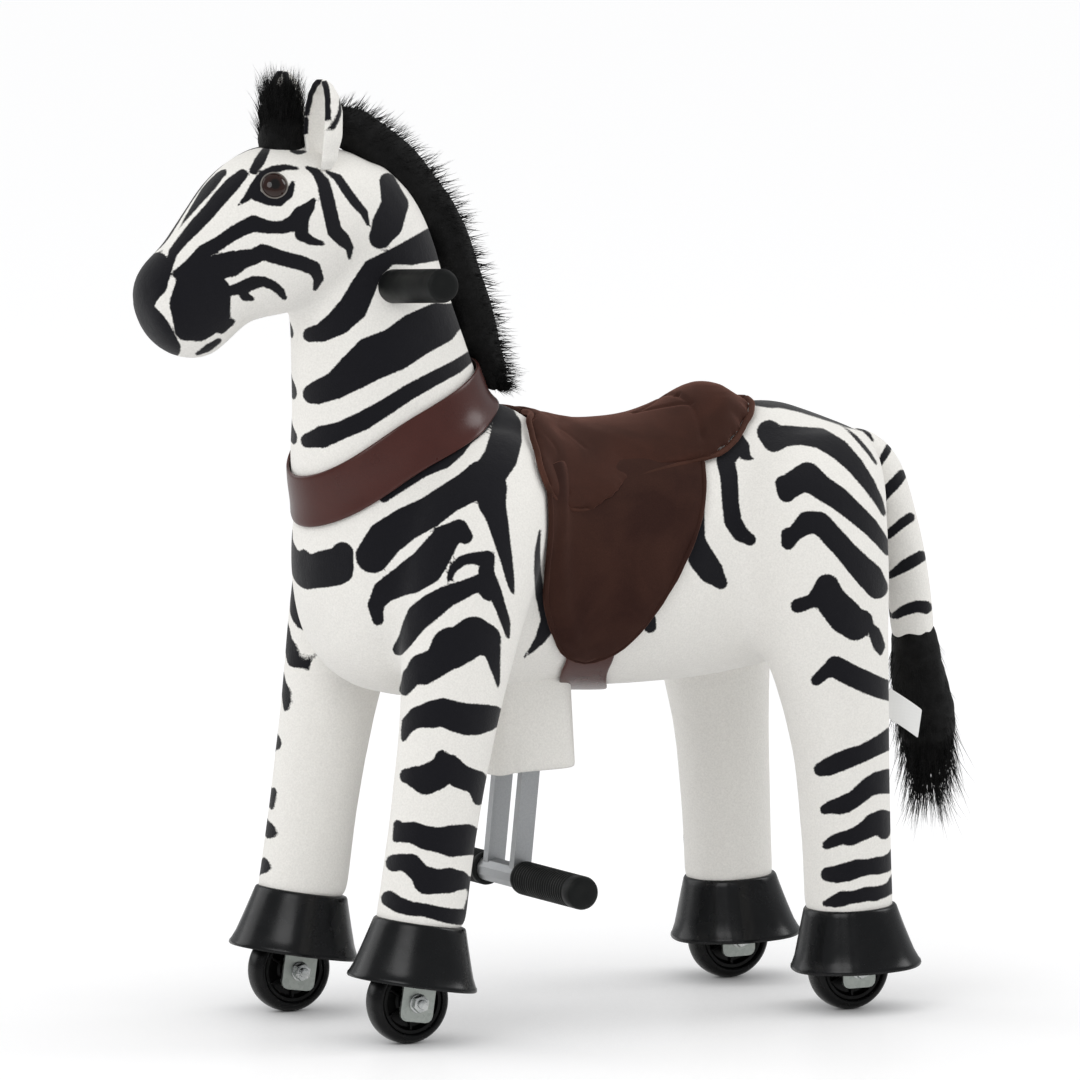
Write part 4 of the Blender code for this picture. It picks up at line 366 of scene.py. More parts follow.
# %% The stencil's strokes
STROKES = {
    "head": (
        ((-154, 623, 9), (-160, 608, 15.1), (-165, 594, 10.4), (-171, 585, 14.4), (-162, 579, 10.4),
         (-157, 574, 10.4), (-154, 569, 10.8), (-149, 560, 10.8), (-144, 554, 9)),
        ((-171, 572, 12.6), (-162, 558, 13.5), (-151, 551, 10.8)),
        ((-127, 606, 12.2), (-129, 590, 15.1), (-127, 574, 13.7), (-130, 570, 10.4), (-121, 572, 12.9),
         (-109, 581, 14.4), (-109, 599, 14.7), (-127, 606, 12.2)),
        ((-102, 573, 7.5), (-95, 575, 3.6), (-92, 576, 1.4)),
        ((-122, 549, 1.4), (-113, 554, 3.2), (-104, 560, 2.2)),
        ((-119, 616, 9), (-106, 621, 9), (-92, 626, 7.2)), ((-100, 705, 0.8), (-89, 710, 2.3), (-76, 717, 1.3)),
        ((-102, 697, 4.3), (-109, 691, 4.6), (-118, 680, 3.3), (-127, 668, 2.1), (-136, 655, 1.5), (-143, 649, 2.3),
         (-152, 637, 1.8)),
        ((-85, 695, 4.6), (-93, 687, 6.2), (-103, 676, 6.2), (-112, 665, 5.9), (-124, 652, 5.6), (-133, 642, 4.6),
         (-141, 632, 3.9), (-144, 621, 3), (-146, 611, 2.3)),
        ((-66, 715, 3.3), (-71, 706, 4.6), (-76, 698, 3.3)),
        ((-40, 700, 1.3), (-50, 701, 2.5), (-60, 699, 3.3), (-68, 694, 4.3), (-74, 685, 4.9), (-81, 676, 3),
         (-88, 670, 0.7)),
        ((-73, 678, 4.9), (-64, 673, 3.3), (-55, 672, 3.3), (-47, 679, 3.6), (-44, 688, 2)),
        ((-138, 614, 3.6), (-127, 621, 5.6), (-116, 632, 6.2), (-104, 639, 5.6), (-94, 646, 5.9), (-85, 651, 6.2),
         (-76, 655, 6.9), (-63, 652, 5.3), (-52, 652, 5.3), (-42, 656, 6.9), (-37, 662, 7.5), (-31, 668, 4.9),
         (-27, 674, 2.3)),
        ((-37, 654, 6.2), (-37, 646, 5.3), (-29, 641, 3.6), (-20, 639, 2)),
        ((-108, 615, 6.2), (-94, 621, 9.5), (-85, 626, 7.9), (-76, 628, 6.6), (-68, 632, 6.6), (-53, 627, 6.2),
         (-37, 623, 6.2), (-27, 619, 5.9), (-23, 611, 4.3), (-26, 602, 1.8)),
        ((-96, 600, 3.9), (-85, 603, 5.3), (-76, 607, 5.6), (-68, 608, 4.3), (-60, 605, 3.9), (-54, 600, 3.6),
         (-51, 595, 2.3)),
        ((-83, 596, 3.9), (-77, 594, 2)),
        ((-33, 701, 1.3), (-25, 697, 3.6), (-19, 688, 5.3), (-16, 675, 5.9), (-13, 662, 5.9), (-10, 649, 6.2),
         (-3, 642, 5.9), (2, 636, 3.6), (2, 627, 1.3)),
        ((-17, 698, 1), (-7, 692, 3.6), (1, 680, 3.9), (7, 672, 3.9), (14, 664, 3.3), (17, 655, 1.6)),
        ((-45, 715, 2), (-40, 713, 2), (-34, 714, 1.3)),
        ((-104, 698, 5.8), (-112, 687, 6.1), (-119, 678, 5), (-127, 668, 4.3), (-136, 657, 3.6), (-142, 649, 3.2),
         (-149, 641, 3.6), (-154, 634, 4)),
    ),
    "neck": (
        ((33, 690, 6.8), (39, 671, 11.1), (33, 655, 12.6), (27, 644, 9.3)),
        ((71, 639, 14), (52, 632, 10.5), (35, 628, 6.1), (21, 618, 8.8), (13, 603, 10.5), (5, 587, 11.8),
         (-7, 575, 10.5), (-20, 567, 7.9), (-30, 565, 6.1)),
        ((89, 581, 10.9), (74, 574, 17.1), (56, 565, 17.9), (39, 553, 17.5), (21, 546, 17.9), (6, 535, 14.9),
         (-9, 524, 11.4), (-24, 518, 9.6), (-28, 517, 8.3)),
        ((101, 548, 4.4), (89, 539, 5.7), (70, 529, 6.1), (50, 518, 6.6), (30, 505, 7), (13, 495, 7.9),
         (-5, 487, 7.4), (-20, 482, 9.2), (-32, 479, 6.1)),
        ((118, 502, 5.3), (109, 489, 4.8), (91, 475, 5.3), (74, 462, 5.3), (56, 450, 4.8), (41, 440, 4.4),
         (30, 432, 3.1)),
        ((117, 453, 13.4), (125, 465, 13.8)),
    ),
    "foreleg": (
        ((46, 236, 2.3), (48, 243, 4.5), (51, 249, 6.9), (58, 254, 8.8), (69, 256, 11.2), (78, 258, 11.5),
         (89, 254, 12.5), (98, 252, 13.1), (106, 252, 12.7), (113, 253, 11.2), (119, 254, 9.2)),
        ((49, 206, 6.4), (56, 205, 9.2), (64, 203, 12.3), (73, 207, 12.3), (83, 213, 10.9), (91, 206, 10),
         (99, 203, 9.8), (106, 202, 8.4), (106, 194, 6.9), (107, 187, 5)),
        ((77, 222, 5.3), (77, 215, 10.2)),
        ((40, 155, 3.3), (41, 167, 3.3), (46, 160, 8.3), (54, 160, 8.8), (63, 156, 9.7), (74, 154, 10.3),
         (85, 153, 13), (97, 154, 12.8), (104, 152, 10.9)),
        ((38, 135, 7), (45, 136, 6.8), (52, 134, 8.8), (59, 127, 8.2), (65, 121, 11.6), (74, 120, 9.9),
         (83, 121, 10.5), (91, 121, 8.3), (98, 119, 5.5)),
        ((100, 116, 1.7), (99, 106, 1.4), (97, 98, 2.3)),
        ((34, 106, 6.6), (42, 101, 6.6), (52, 98, 5.9), (63, 97, 5.5), (74, 94, 5.9), (83, 92, 6.4), (92, 91, 6.6)),
        ((21, 385, 14.1), (31, 399, 15), (48, 411, 13.8), (66, 420, 12.9), (83, 432, 12), (97, 440, 12.9),
         (110, 447, 15.8), (117, 453, 13.4), (125, 465, 13.8), (129, 479, 13.4), (130, 491, 12), (128, 502, 8.3),
         (124, 508, 2.6)),
        ((117, 440, 13.4), (118, 428, 11.4), (122, 416, 8.9), (126, 398, 6.9), (130, 381, 5), (133, 364, 3.3),
         (135, 355, 1.5)),
        ((30, 433, 4.8), (36, 440, 7.2), (48, 450, 7.6), (66, 459, 7.9), (78, 464, 8.3), (88, 472, 7.9),
         (97, 483, 7.2), (107, 493, 6)),
        ((25, 333, 4.8), (23, 345, 6.5), (30, 356, 9.5), (42, 363, 11.4), (52, 368, 13.8), (64, 376, 14.8),
         (72, 387, 13.4), (80, 399, 11.4), (91, 407, 7.9), (96, 401, 6.5)),
        ((83, 366, 2.4), (86, 374, 3.3), (93, 381, 4.3), (100, 383, 4.5), (109, 383, 5.8), (115, 384, 5.5),
         (113, 372, 6.5), (120, 357, 5.5), (125, 343, 4.6), (129, 331, 4.1), (131, 319, 1.7)),
        ((42, 309, 5.2), (48, 317, 6.5), (53, 327, 8.6), (59, 336, 10.7), (69, 344, 10.7), (81, 352, 8.9),
         (91, 356, 7.9), (102, 361, 6.9), (110, 363, 7.7), (115, 355, 6.5)),
        ((47, 276, 4.8), (53, 287, 8.3), (62, 293, 12.9), (73, 298, 11.7), (85, 310, 17.2), (93, 313, 15.8),
         (103, 320, 15.8), (112, 317, 13.4), (118, 309, 7.2), (120, 297, 4.8), (122, 287, 2.8), (123, 278, 1)),
        ((-50, 385, 12), (-42, 379, 13.4), (-32, 371, 13.4), (-20, 374, 15.1), (-10, 376, 15.5), (-4, 387, 9.3),
         (-4, 372, 9.1)),
    ),
    "flank": (
        ((157, 406, 1), (155, 389, 2.3), (155, 373, 3), (157, 353, 3.7), (161, 336, 4)),
        ((165, 332, 7.5), (158, 318, 4.7), (151, 309, 2.5), (144, 302, 0.7)),
        ((321, 483, 2.7), (323, 474, 6), (326, 466, 3.7), (331, 464, 1.3)),
        ((317, 472, 6.7), (309, 463, 7.5), (312, 449, 7.3), (313, 428, 7), (315, 413, 7.3), (321, 403, 6.7),
         (329, 398, 5)),
        ((290, 456, 1.3), (289, 433, 2.3), (288, 413, 4), (285, 398, 7.3), (289, 383, 11), (297, 372, 10.3),
         (305, 363, 5.7)),
        ((249, 339, 1.7), (247, 333, 5), (247, 327, 5.3)),
    ),
    "haunch": (
        ((334, 510, 2.2), (345, 509, 3.2), (355, 509, 3.2), (370, 505, 2.5), (390, 498, 1.7), (410, 491, 1.2),
         (421, 489, 2), (430, 483, 1.5)),
        ((406, 491, 0.7), (417, 481, 1.7), (427, 469, 1.7), (433, 460, 1.2)),
        ((345, 486, 10), (349, 479, 9.5), (358, 483, 8.7), (372, 483, 7.5), (387, 481, 8.5), (402, 472, 8.5),
         (415, 459, 7.2), (426, 444, 5.7), (435, 429, 3.7), (439, 419, 2)),
        ((358, 439, 7.5), (356, 444, 6.5), (359, 436, 7.5), (365, 444, 10.5), (376, 450, 11.5), (387, 441, 10),
         (401, 432, 9.5), (415, 420, 8.2), (427, 409, 7.2), (437, 397, 5.5), (442, 389, 4)),
        ((360, 402, 6), (360, 395, 5.5), (366, 404, 6.5), (376, 412, 9.5), (386, 412, 9), (397, 400, 9),
         (408, 388, 9), (417, 378, 10), (427, 368, 11.2), (433, 359, 9.5)),
        ((368, 344, 6), (380, 348, 5.5), (392, 360, 10), (396, 347, 13), (407, 335, 14.5), (415, 328, 12.5),
         (421, 332, 8.7)),
        ((427, 329, 2.5), (431, 322, 5.2), (435, 311, 5.2), (436, 305, 2)),
        ((383, 283, 4.5), (391, 290, 5.5), (399, 294, 9), (412, 287, 9), (425, 281, 9), (437, 276, 8.5),
         (445, 274, 8.5)),
    ),
    "hindleg": (
        ((387, 210, 5.8), (393, 212, 7.5), (402, 216, 8), (412, 220, 8), (421, 223, 7.3), (431, 228, 7.4),
         (439, 232, 7.9), (446, 236, 8.8)),
        ((390, 177, 3.9), (395, 179, 5.4), (402, 180, 7), (408, 182, 7.6), (415, 186, 7), (421, 191, 7.4),
         (427, 196, 8), (434, 199, 9.3), (442, 200, 10.3)),
        ((392, 148, 3.8), (397, 151, 5), (405, 154, 5.4), (411, 154, 6.8), (418, 157, 6.8), (425, 161, 7.8),
         (431, 165, 9.3), (438, 167, 10), (439, 158, 5.5)),
        ((443, 170, 5.6), (446, 164, 2.5), (448, 158, 0.8)),
        ((393, 124, 6), (400, 124, 7.3), (409, 126, 7.9), (418, 129, 7.6), (426, 130, 6.5), (434, 131, 7.4),
         (440, 132, 6.8), (446, 137, 5.6), (448, 144, 3)),
        ((391, 100, 2.6), (399, 102, 5.4), (405, 104, 6.5), (411, 105, 5.3), (418, 106, 5.6), (425, 108, 6.1),
         (432, 108, 6.1), (439, 110, 5.3), (445, 113, 5.1), (447, 121, 2.9), (449, 127, 1.3)),
    ),
    "tail": (
        ((417, 489, 0.6), (423, 488, 1.3), (428, 484, 1.7), (431, 479, 1.1)),
        ((444, 474, 2.7), (443, 471, 3.1), (440, 466, 3), (436, 459, 2)),
        ((455, 451, 4.3), (450, 445, 4.9), (445, 440, 4.9), (441, 434, 3.8), (440, 430, 2.3)),
        ((462, 416, 4.1), (456, 412, 4.1), (450, 407, 3.8), (444, 402, 3.8), (442, 400, 2.6)),
        ((471, 384, 4.8), (464, 380, 5.2), (457, 376, 5.1), (451, 372, 3.8), (445, 368, 2.7)),
        ((475, 342, 5.5), (468, 343, 4.9), (461, 341, 4.8), (456, 339, 4.3), (451, 336, 3.5), (448, 335, 2.3)),
    ),
}


# What a millimetre backward, to the side and upward adds on the stencil plane, along it and up it.
ALONG_PER_BACK, ALONG_PER_SIDE = 0.8813, 0.4726
UP_PER_HEIGHT, UP_PER_BACK, UP_PER_SIDE = 0.991, 0.062, 0.115
OUT_OF_REACH_MM = 99.0
FADE_MM = 20.0


def on_stencil(points):
    """Puts points of the left side, in metres, on the stencil plane, in millimetres."""
    side = np.abs(points[:, 0]) * 1000
    back = (points[:, 1] - FRONT_AXLE_Y) * 1000
    height = points[:, 2] * 1000
    along = ALONG_PER_BACK * back + ALONG_PER_SIDE * side
    return np.stack([along, UP_PER_HEIGHT * height + UP_PER_BACK * back - UP_PER_SIDE * side], axis=1)


def from_strokes(flat, strokes):
    """How far each point of the stencil lies outside the nearest stroke, in millimetres."""
    nearest = np.full(len(flat), OUT_OF_REACH_MM)
    for stroke in strokes:
        for start, end in zip(stroke, stroke[1:]):
            (x0, y0, r0), (x1, y1, r1) = start, end
            run = np.array([x1 - x0, y1 - y0], float)
            share = np.clip(((flat - (x0, y0)) @ run) / max(run @ run, 1e-6), 0, 1)
            away = np.hypot(*(flat - np.outer(share, run) - (x0, y0)).T)
            nearest = np.minimum(nearest, away - (r0 + share * (r1 - r0)))
    return nearest


def store(piece, name, values):
    attribute = piece.data.attributes.new(name, "FLOAT", "POINT")
    attribute.data.foreach_set("value", values.astype(np.float32))


def mesh_points(piece):
    mesh = piece.data
    points = np.empty(len(mesh.vertices) * 3, np.float32)
    normals = np.empty(len(mesh.vertices) * 3, np.float32)
    mesh.vertices.foreach_get("co", points)
    mesh.vertices.foreach_get("normal", normals)
    return points.reshape(-1, 3).astype(float), normals.reshape(-1, 3).astype(float)


def spray(piece, groups, shield=None):
    """Stores the distance to the stripes on a piece. shield says where cloth is kept white."""
    points, normals = mesh_points(piece)
    flat = on_stencil(points)
    away = from_strokes(flat, [stroke for group in groups for stroke in STROKES[group]])
    if shield is not None:
        away = np.maximum(away, shield(points, normals))
    store(piece, "stripe", np.clip(0.5 + away / FADE_MM, 0, 1))


PANEL_TOP, PANEL_FADE = 0.338, 0.03
TURNED_IN, TURNED_DOWN, SHIELD_STEEPNESS = -0.16, -0.75, 60


def leg_shield(points, normals):
    """Below the belly the inner half of each leg is a panel of plain white."""
    mirror = np.where(points[:, 0] < 0, -1.0, 1.0)
    facing = normals[:, 0] * mirror * BACKWARD.x + normals[:, 1] * BACKWARD.y
    below = np.clip((PANEL_TOP - points[:, 2]) / PANEL_FADE, 0, 1)
    turned_in = (TURNED_IN - facing) * SHIELD_STEEPNESS
    under = (TURNED_DOWN - normals[:, 2]) * SHIELD_STEEPNESS
    return np.where(below > 0, turned_in * below - (1 - below) * FADE_MM, under)


spray(body, ("neck", "foreleg", "flank", "haunch", "hindleg"), leg_shield)
spray(head, ("head", "neck"))

# %% [markdown]
# ## Plush
# Short-pile polyester plush: dull, soft at the edges of every form, with a nap that lies in small tufts. White
# pile is a warm white, and the sprayed stripes are a blue black. The nap's tufts are drawn a little coarser than
# real pile, 1 to 2 mm, so that they show.

# %% Plush finish
def new_material(name):
    made = bpy.data.materials.new(name)
    made.use_nodes = True
    made.node_tree.nodes.clear()
    return made


def plush(name, white="F3F1ED", black="17171C", striped=True, nap_mm=1.6):
    made = new_material(name)
    tree = made.node_tree
    spot = node(tree, "ShaderNodeTexCoord").outputs["Object"]
    pile = node(tree, "ShaderNodeTexNoise", {"Vector": spot, "Scale": 1000 / nap_mm, "Detail": 3.0,
        "Roughness": 0.65}).outputs["Fac"]
    tufts = node(tree, "ShaderNodeTexNoise", {"Vector": spot, "Scale": 1000 / 14, "Detail": 2.0}).outputs["Fac"]
    shade = node(tree, "ShaderNodeMapRange", {"Value": pile, "From Min": 0.3, "From Max": 0.7, "To Min": 0.88,
        "To Max": 1.0}).outputs[0]
    colour = linear(white)
    if striped:
        edge = node(tree, "ShaderNodeAttribute", attribute_name="stripe").outputs["Fac"]
        fray = node(tree, "ShaderNodeMath", {0: pile, 1: 0.10, 2: -0.05}, operation="MULTIPLY_ADD").outputs[0]
        rough_edge = node(tree, "ShaderNodeMath", {0: edge, 1: fray}, operation="ADD").outputs[0]
        cover = node(tree, "ShaderNodeMapRange", {"Value": rough_edge, "From Min": 0.475,
            "From Max": 0.525}).outputs[0]
        inks = node(tree, "ShaderNodeMix", {0: cover, 6: linear(black), 7: linear(white)}, data_type="RGBA")
        colour = inks.outputs[2]
    toned = node(tree, "ShaderNodeMix", {0: 1.0, 6: colour, 7: shade}, data_type="RGBA",
        blend_type="MULTIPLY").outputs[2]
    deep = node(tree, "ShaderNodeBump", {"Height": tufts, "Strength": 0.35, "Distance": 0.0016}).outputs[0]
    nap = node(tree, "ShaderNodeBump", {"Height": pile, "Strength": 0.55, "Distance": 0.0007,
        "Normal": deep}).outputs[0]
    skin = node(tree, "ShaderNodeBsdfPrincipled", {
        "Base Color": toned, "Roughness": 0.95, "Specular IOR Level": 0.15, "Sheen Weight": 0.18,
        "Sheen Roughness": 0.45,
        "Normal": nap,
    })
    node(tree, "ShaderNodeOutputMaterial", {"Surface": skin.outputs[0]})
    return made


PLUSH = plush("short_pile_plush")
PLUSH_WHITE = plush("white_short_pile_plush", striped=False)
for piece in (body, head):
    piece.data.materials.append(PLUSH)

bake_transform(body)
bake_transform(head)
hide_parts("barrel_plush", "chest_plush", "foreleg_plush_left", "foreleg_plush_right", "hindleg_plush_left",
    "hindleg_plush_right")
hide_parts("neck_plush", "head_plush")

# %% [markdown]
# ## Hard finishes
# The hooves are soft PVC, the tyres polyurethane and the wheel cores nylon, all moulded black: a smooth skin with
# a faint grain and rubbed spots. The forks and bolts are zinc plated steel, which dries in cloudy flakes a few
# millimetres wide. The pedal frame is steel under a satin silver lacquer.

# %% Moulded, plated and lacquered finishes
def moulded(name, colour, roughness, grain_mm, relief_mm, coat=0.0, specular=0.2):
    """A moulded plastic or rubber surface, with a grain and with rubbed spots that are a little duller."""
    made = new_material(name)
    tree = made.node_tree
    spot = node(tree, "ShaderNodeTexCoord").outputs["Object"]
    grain = node(tree, "ShaderNodeTexNoise", {"Vector": spot, "Scale": 1000 / grain_mm,
        "Detail": 2.0}).outputs["Fac"]
    rubbed = node(tree, "ShaderNodeTexNoise", {"Vector": spot, "Scale": 1000 / 22, "Detail": 4.0,
        "Roughness": 0.6}).outputs["Fac"]
    dull = node(tree, "ShaderNodeMapRange", {"Value": rubbed, "From Min": 0.35, "From Max": 0.75,
        "To Min": roughness * 0.85, "To Max": roughness * 1.35}).outputs[0]
    shade = node(tree, "ShaderNodeMapRange", {"Value": rubbed, "From Min": 0.3, "From Max": 0.8, "To Min": 0.9,
        "To Max": 1.2}).outputs[0]
    toned = node(tree, "ShaderNodeMix", {0: 1.0, 6: linear(colour), 7: shade}, data_type="RGBA",
        blend_type="MULTIPLY").outputs[2]
    relief = node(tree, "ShaderNodeBump", {"Height": grain, "Strength": 0.4,
        "Distance": relief_mm / 1000}).outputs[0]
    skin = node(tree, "ShaderNodeBsdfPrincipled", {
        "Base Color": toned, "Roughness": dull, "Specular IOR Level": specular, "Coat Weight": coat,
        "Coat Roughness": 0.2, "Normal": relief,
    })
    node(tree, "ShaderNodeOutputMaterial", {"Surface": skin.outputs[0]})
    return made


def metal(name, light, dark, roughness, flake_mm, metallic=1.0):
    """Plated or lacquered steel: flakes of two close greys, which also differ in gloss."""
    made = new_material(name)
    tree = made.node_tree
    spot = node(tree, "ShaderNodeTexCoord").outputs["Object"]
    flakes = node(tree, "ShaderNodeTexVoronoi", {"Vector": spot, "Scale": 1000 / flake_mm}).outputs["Color"]
    flake = node(tree, "ShaderNodeSeparateColor", {"Color": flakes}).outputs[0]
    streaks = node(tree, "ShaderNodeTexNoise", {"Vector": spot, "Scale": 1000 / 1.2, "Detail": 2.0}).outputs["Fac"]
    toned = node(tree, "ShaderNodeMix", {0: flake, 6: linear(dark), 7: linear(light)}, data_type="RGBA").outputs[2]
    gloss = node(tree, "ShaderNodeMapRange", {"Value": flake, "To Min": roughness * 0.8,
        "To Max": roughness * 1.25}).outputs[0]
    relief = node(tree, "ShaderNodeBump", {"Height": streaks, "Strength": 0.15, "Distance": 0.0002}).outputs[0]
    skin = node(tree, "ShaderNodeBsdfPrincipled", {"Base Color": toned, "Metallic": metallic, "Roughness": gloss,
        "Normal": relief})
    node(tree, "ShaderNodeOutputMaterial", {"Surface": skin.outputs[0]})
    return made


HOOF_PVC = moulded("moulded_pvc_hoof", "090A0C", 0.26, 1.2, 0.05, specular=0.32)
TYRE_PU = moulded("cast_polyurethane_tyre", "0A0A0B", 0.26, 1.0, 0.05)
CORE_NYLON = moulded("moulded_nylon_core", "090909", 0.36, 1.0, 0.05)
GRIP_RUBBER = moulded("moulded_rubber_grip", "101212", 0.48, 0.9, 0.08)
ZINC = metal("zinc_plated_steel", "BBC0BB", "A5ABA6", 0.40, 3.0)
BRIGHT = metal("bright_zinc_nut", "D3D5D4", "B7BABA", 0.24, 4.0)
SILVER = metal("satin_silver_lacquer", "B4B6B8", "A8AAAD", 0.40, 0.8, 0.75)

# %% [markdown]
# ## Hooves
# Each hoof is a strip of thick black PVC, wrapped round the leg's end into an open bell and welded to itself at
# the front, where the weld stands up as a ridge. The strip's lower edge ends in a small lip. A profile spun about
# the leg gives the bell, and points near the front are then drawn out to the ridge.

# %% Turned shapes
def profile_ring(bm, points):
    """One closed profile in the plane of X and Z, from (radius, height) in millimetres."""
    verts = [bm.verts.new((r / 1000, 0.0, h / 1000)) for r, h in points]
    return verts + [bm.edges.new((a, b)) for a, b in zip(verts, verts[1:] + verts[:1])]


def turned(points, steps):
    bm = bmesh.new()
    bmesh.ops.spin(bm, geom=profile_ring(bm, points), cent=(0, 0, 0), axis=(0, 0, 1), angle=math.tau, steps=steps,
        use_merge=True)
    bmesh.ops.remove_doubles(bm, verts=bm.verts, dist=1e-6)
    bmesh.ops.recalc_face_normals(bm, faces=bm.faces)
    return bm


def placed(bm, matrix, name, material, smooth_angle=40):
    bmesh.ops.transform(bm, matrix=matrix, verts=bm.verts)
    made = piece_from(bm, name)
    made.data.set_sharp_from_angle(angle=math.radians(smooth_angle))
    made.data.materials.append(material)
    return made


def rod_into(bm, radius, length, matrix, segments=20):
    """Adds a capped rod about its own Z, in millimetres, with a small bevel at both ends."""
    made = bmesh.ops.create_cone(bm, cap_ends=True, segments=segments, radius1=radius / 1000, radius2=radius / 1000,
        depth=length / 1000, matrix=matrix)
    rims = [edge for edge in {e for v in made["verts"] for e in v.link_edges}
        if len(edge.link_faces) == 2 and abs(edge.calc_face_angle(0)) > 1.0]
    bmesh.ops.bevel(bm, geom=rims, offset=min(radius, length) * 0.00012, segments=2, profile=0.5, affect="EDGES",
        material=-1)


# %% Hooves
TRACK_HALF, WHEEL_RADIUS = 103.0, 35
AXLES = (("front", 0), ("rear", 410))
HOOF_TALL, HOOF_FOOT, HOOF_THICK = 50.5, 53.3, 2.6


def hoof_bell(foot, top_radius, ridge_turn, heel):
    """The bell about the leg's own axis, from its foot's height in millimetres over the wheel's middle."""
    top = foot + HOOF_TALL
    outside = [(HOOF_FOOT + 0.1, foot), (HOOF_FOOT + 0.5, foot + 1.0), (HOOF_FOOT + 0.1, foot + 3.2),
        (HOOF_FOOT - 0.9, foot + 4.4)]
    shares = (0.22, 0.36, 0.5, 0.64, 0.78, 0.9, 0.97)
    outside += [(HOOF_FOOT + (top_radius - HOOF_FOOT) * s ** 0.9, foot + HOOF_TALL * s) for s in shares]
    outside += [(top_radius - 0.6, top), (top_radius - 2.2, top + 0.5)]
    inside = [(14.2, top + 0.2), (14.2, top - HOOF_THICK), (top_radius - HOOF_THICK, top - HOOF_THICK),
        (HOOF_FOOT - HOOF_THICK, foot)]
    bm = turned(outside + inside, 96)
    for vert in bm.verts:
        turn = math.atan2(vert.co.x, -vert.co.y)
        radius = math.hypot(vert.co.x, vert.co.y)
        away = abs(turn - ridge_turn)
        if radius > 0.020:
            share = max(0.0, 1 - away / 0.30)
            flat = 0.0022 * share ** 2
            crest = 0.0012 * max(0.0, 1 - away / 0.075)
            low = max(0.0, 1 - (vert.co.z * 1000 - foot) / HOOF_TALL)
            slack = 0.0009 * low * math.sin(3 * turn + 0.8) + 0.0005 * low * math.sin(7 * turn)
            vert.co.xy *= 1 + (flat * -0.6 + crest + slack) / radius
            vert.co.y += heel / 1000 * low ** 1.4
    return bm


for side, sign in (("left", 1), ("right", -1)):
    for end, back, foot, top_radius, lean, ridge, heel in (("front", 1.5, 14, 38.0, 9.2, -31, 0),
            ("rear", 414, 0, 38.0, -2.6, 57, 3)):
        bm = hoof_bell(foot, top_radius, math.radians(ridge), heel)
        slope = Matrix.Rotation(math.radians(-lean), 4, "X")
        place = Matrix.Translation(at(back, WHEEL_RADIUS, sign * TRACK_HALF)) @ slope
        hoof = placed(bm, place, f"{end}_hoof_bell_{side}", HOOF_PVC)
        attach(hoof, "front_frame" if end == "front" else "chassis")
        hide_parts(f"{end}_hoof_{side}")
print("four hooves")

# %% [markdown]
# ## Wheels
# Each castor has a round-shouldered tyre cast on a nylon core. The core has a recessed web with six ribs between
# the rim and the boss. The tyre's parting line runs round its middle.

# %% Tyres and cores
TYRE = [
    (26.4, -9.4), (27.2, -11.2), (29.0, -12.0), (31.2, -11.2), (33.2, -9.0), (34.4, -6.4), (34.9, -3.2),
    (35.0, -0.5),
    (35.0, 0.5), (34.9, 3.2), (34.4, 6.4), (33.2, 9.0), (31.2, 11.2), (29.0, 12.0), (27.2, 11.2), (26.4, 9.4),
]
CORE = [
    (4.4, -15.2), (9.8, -15.2), (11.2, -13.8), (11.6, -6.4), (13.4, -4.6), (21.0, -4.6), (23.0, -6.6), (23.6, -9.4),
    (26.2, -9.6),
    (26.2, 9.6), (23.6, 9.4), (23.0, 6.6), (21.0, 4.6), (13.4, 4.6), (11.6, 6.4), (11.2, 13.8), (9.8, 15.2),
    (4.4, 15.2),
]

for end, back in AXLES:
    for side, sign in (("left", 1), ("right", -1)):
        hub = Matrix.Translation(at(back, WHEEL_RADIUS, sign * TRACK_HALF)) @ Matrix.Rotation(math.pi / 2, 4, "Y")
        tyre = placed(turned(TYRE, 72), hub, f"{end}_{side}_round_tyre", TYRE_PU, 60)
        bm = turned(CORE, 48)
        for k in range(6):
            turn = Matrix.Rotation(k * math.tau / 6, 4, "Z")
            spoke = turn @ Matrix.Translation((0.0172, 0, 0)) @ Matrix.Diagonal((0.0125, 0.0022, 0.0150, 1))
            rib = bmesh.ops.create_cube(bm, size=1.0, matrix=spoke)
            edges = list({edge for vert in rib["verts"] for edge in vert.link_edges})
            bmesh.ops.bevel(bm, geom=edges, offset=0.0005, segments=1, profile=0.5, affect="EDGES", material=-1)
        core = placed(bm, hub, f"{end}_{side}_ribbed_core", CORE_NYLON, 35)
        for piece, node_name, slot in ((tyre, "tyre", "urethane"), (core, "wheel_core", "nylon")):
            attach(piece, f"{end}_{side}_wheel")
            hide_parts(f"{end}_{side}_{node_name}")
print("four wheels")

# %% [markdown]
# ## Spring catches
# A small bent wire stands behind each front wheel. That it is a catch against rolling back is a guess. It is a
# curve with a round bevel, turned into a mesh.

# %% Wires
def wire(points, radius_mm, name, material, resolution=3):
    """A round wire through points, as a mesh."""
    curve = bpy.data.curves.new(name, "CURVE")
    curve.dimensions, curve.bevel_depth, curve.bevel_resolution = "3D", radius_mm / 1000, resolution
    curve.use_fill_caps = True
    spline = curve.splines.new("POLY")
    spline.points.add(len(points) - 1)
    for point, place in zip(spline.points, points):
        point.co = (*place, 1.0)
    drawn = bpy.data.objects.new(name, curve)
    scene.collection.objects.link(drawn)
    mesh = bpy.data.meshes.new_from_object(drawn.evaluated_get(bpy.context.evaluated_depsgraph_get()))
    bpy.data.objects.remove(drawn)
    mesh.shade_smooth()
    made = bpy.data.objects.new(name, mesh)
    scene.collection.objects.link(made)
    mesh.materials.append(material)
    return made


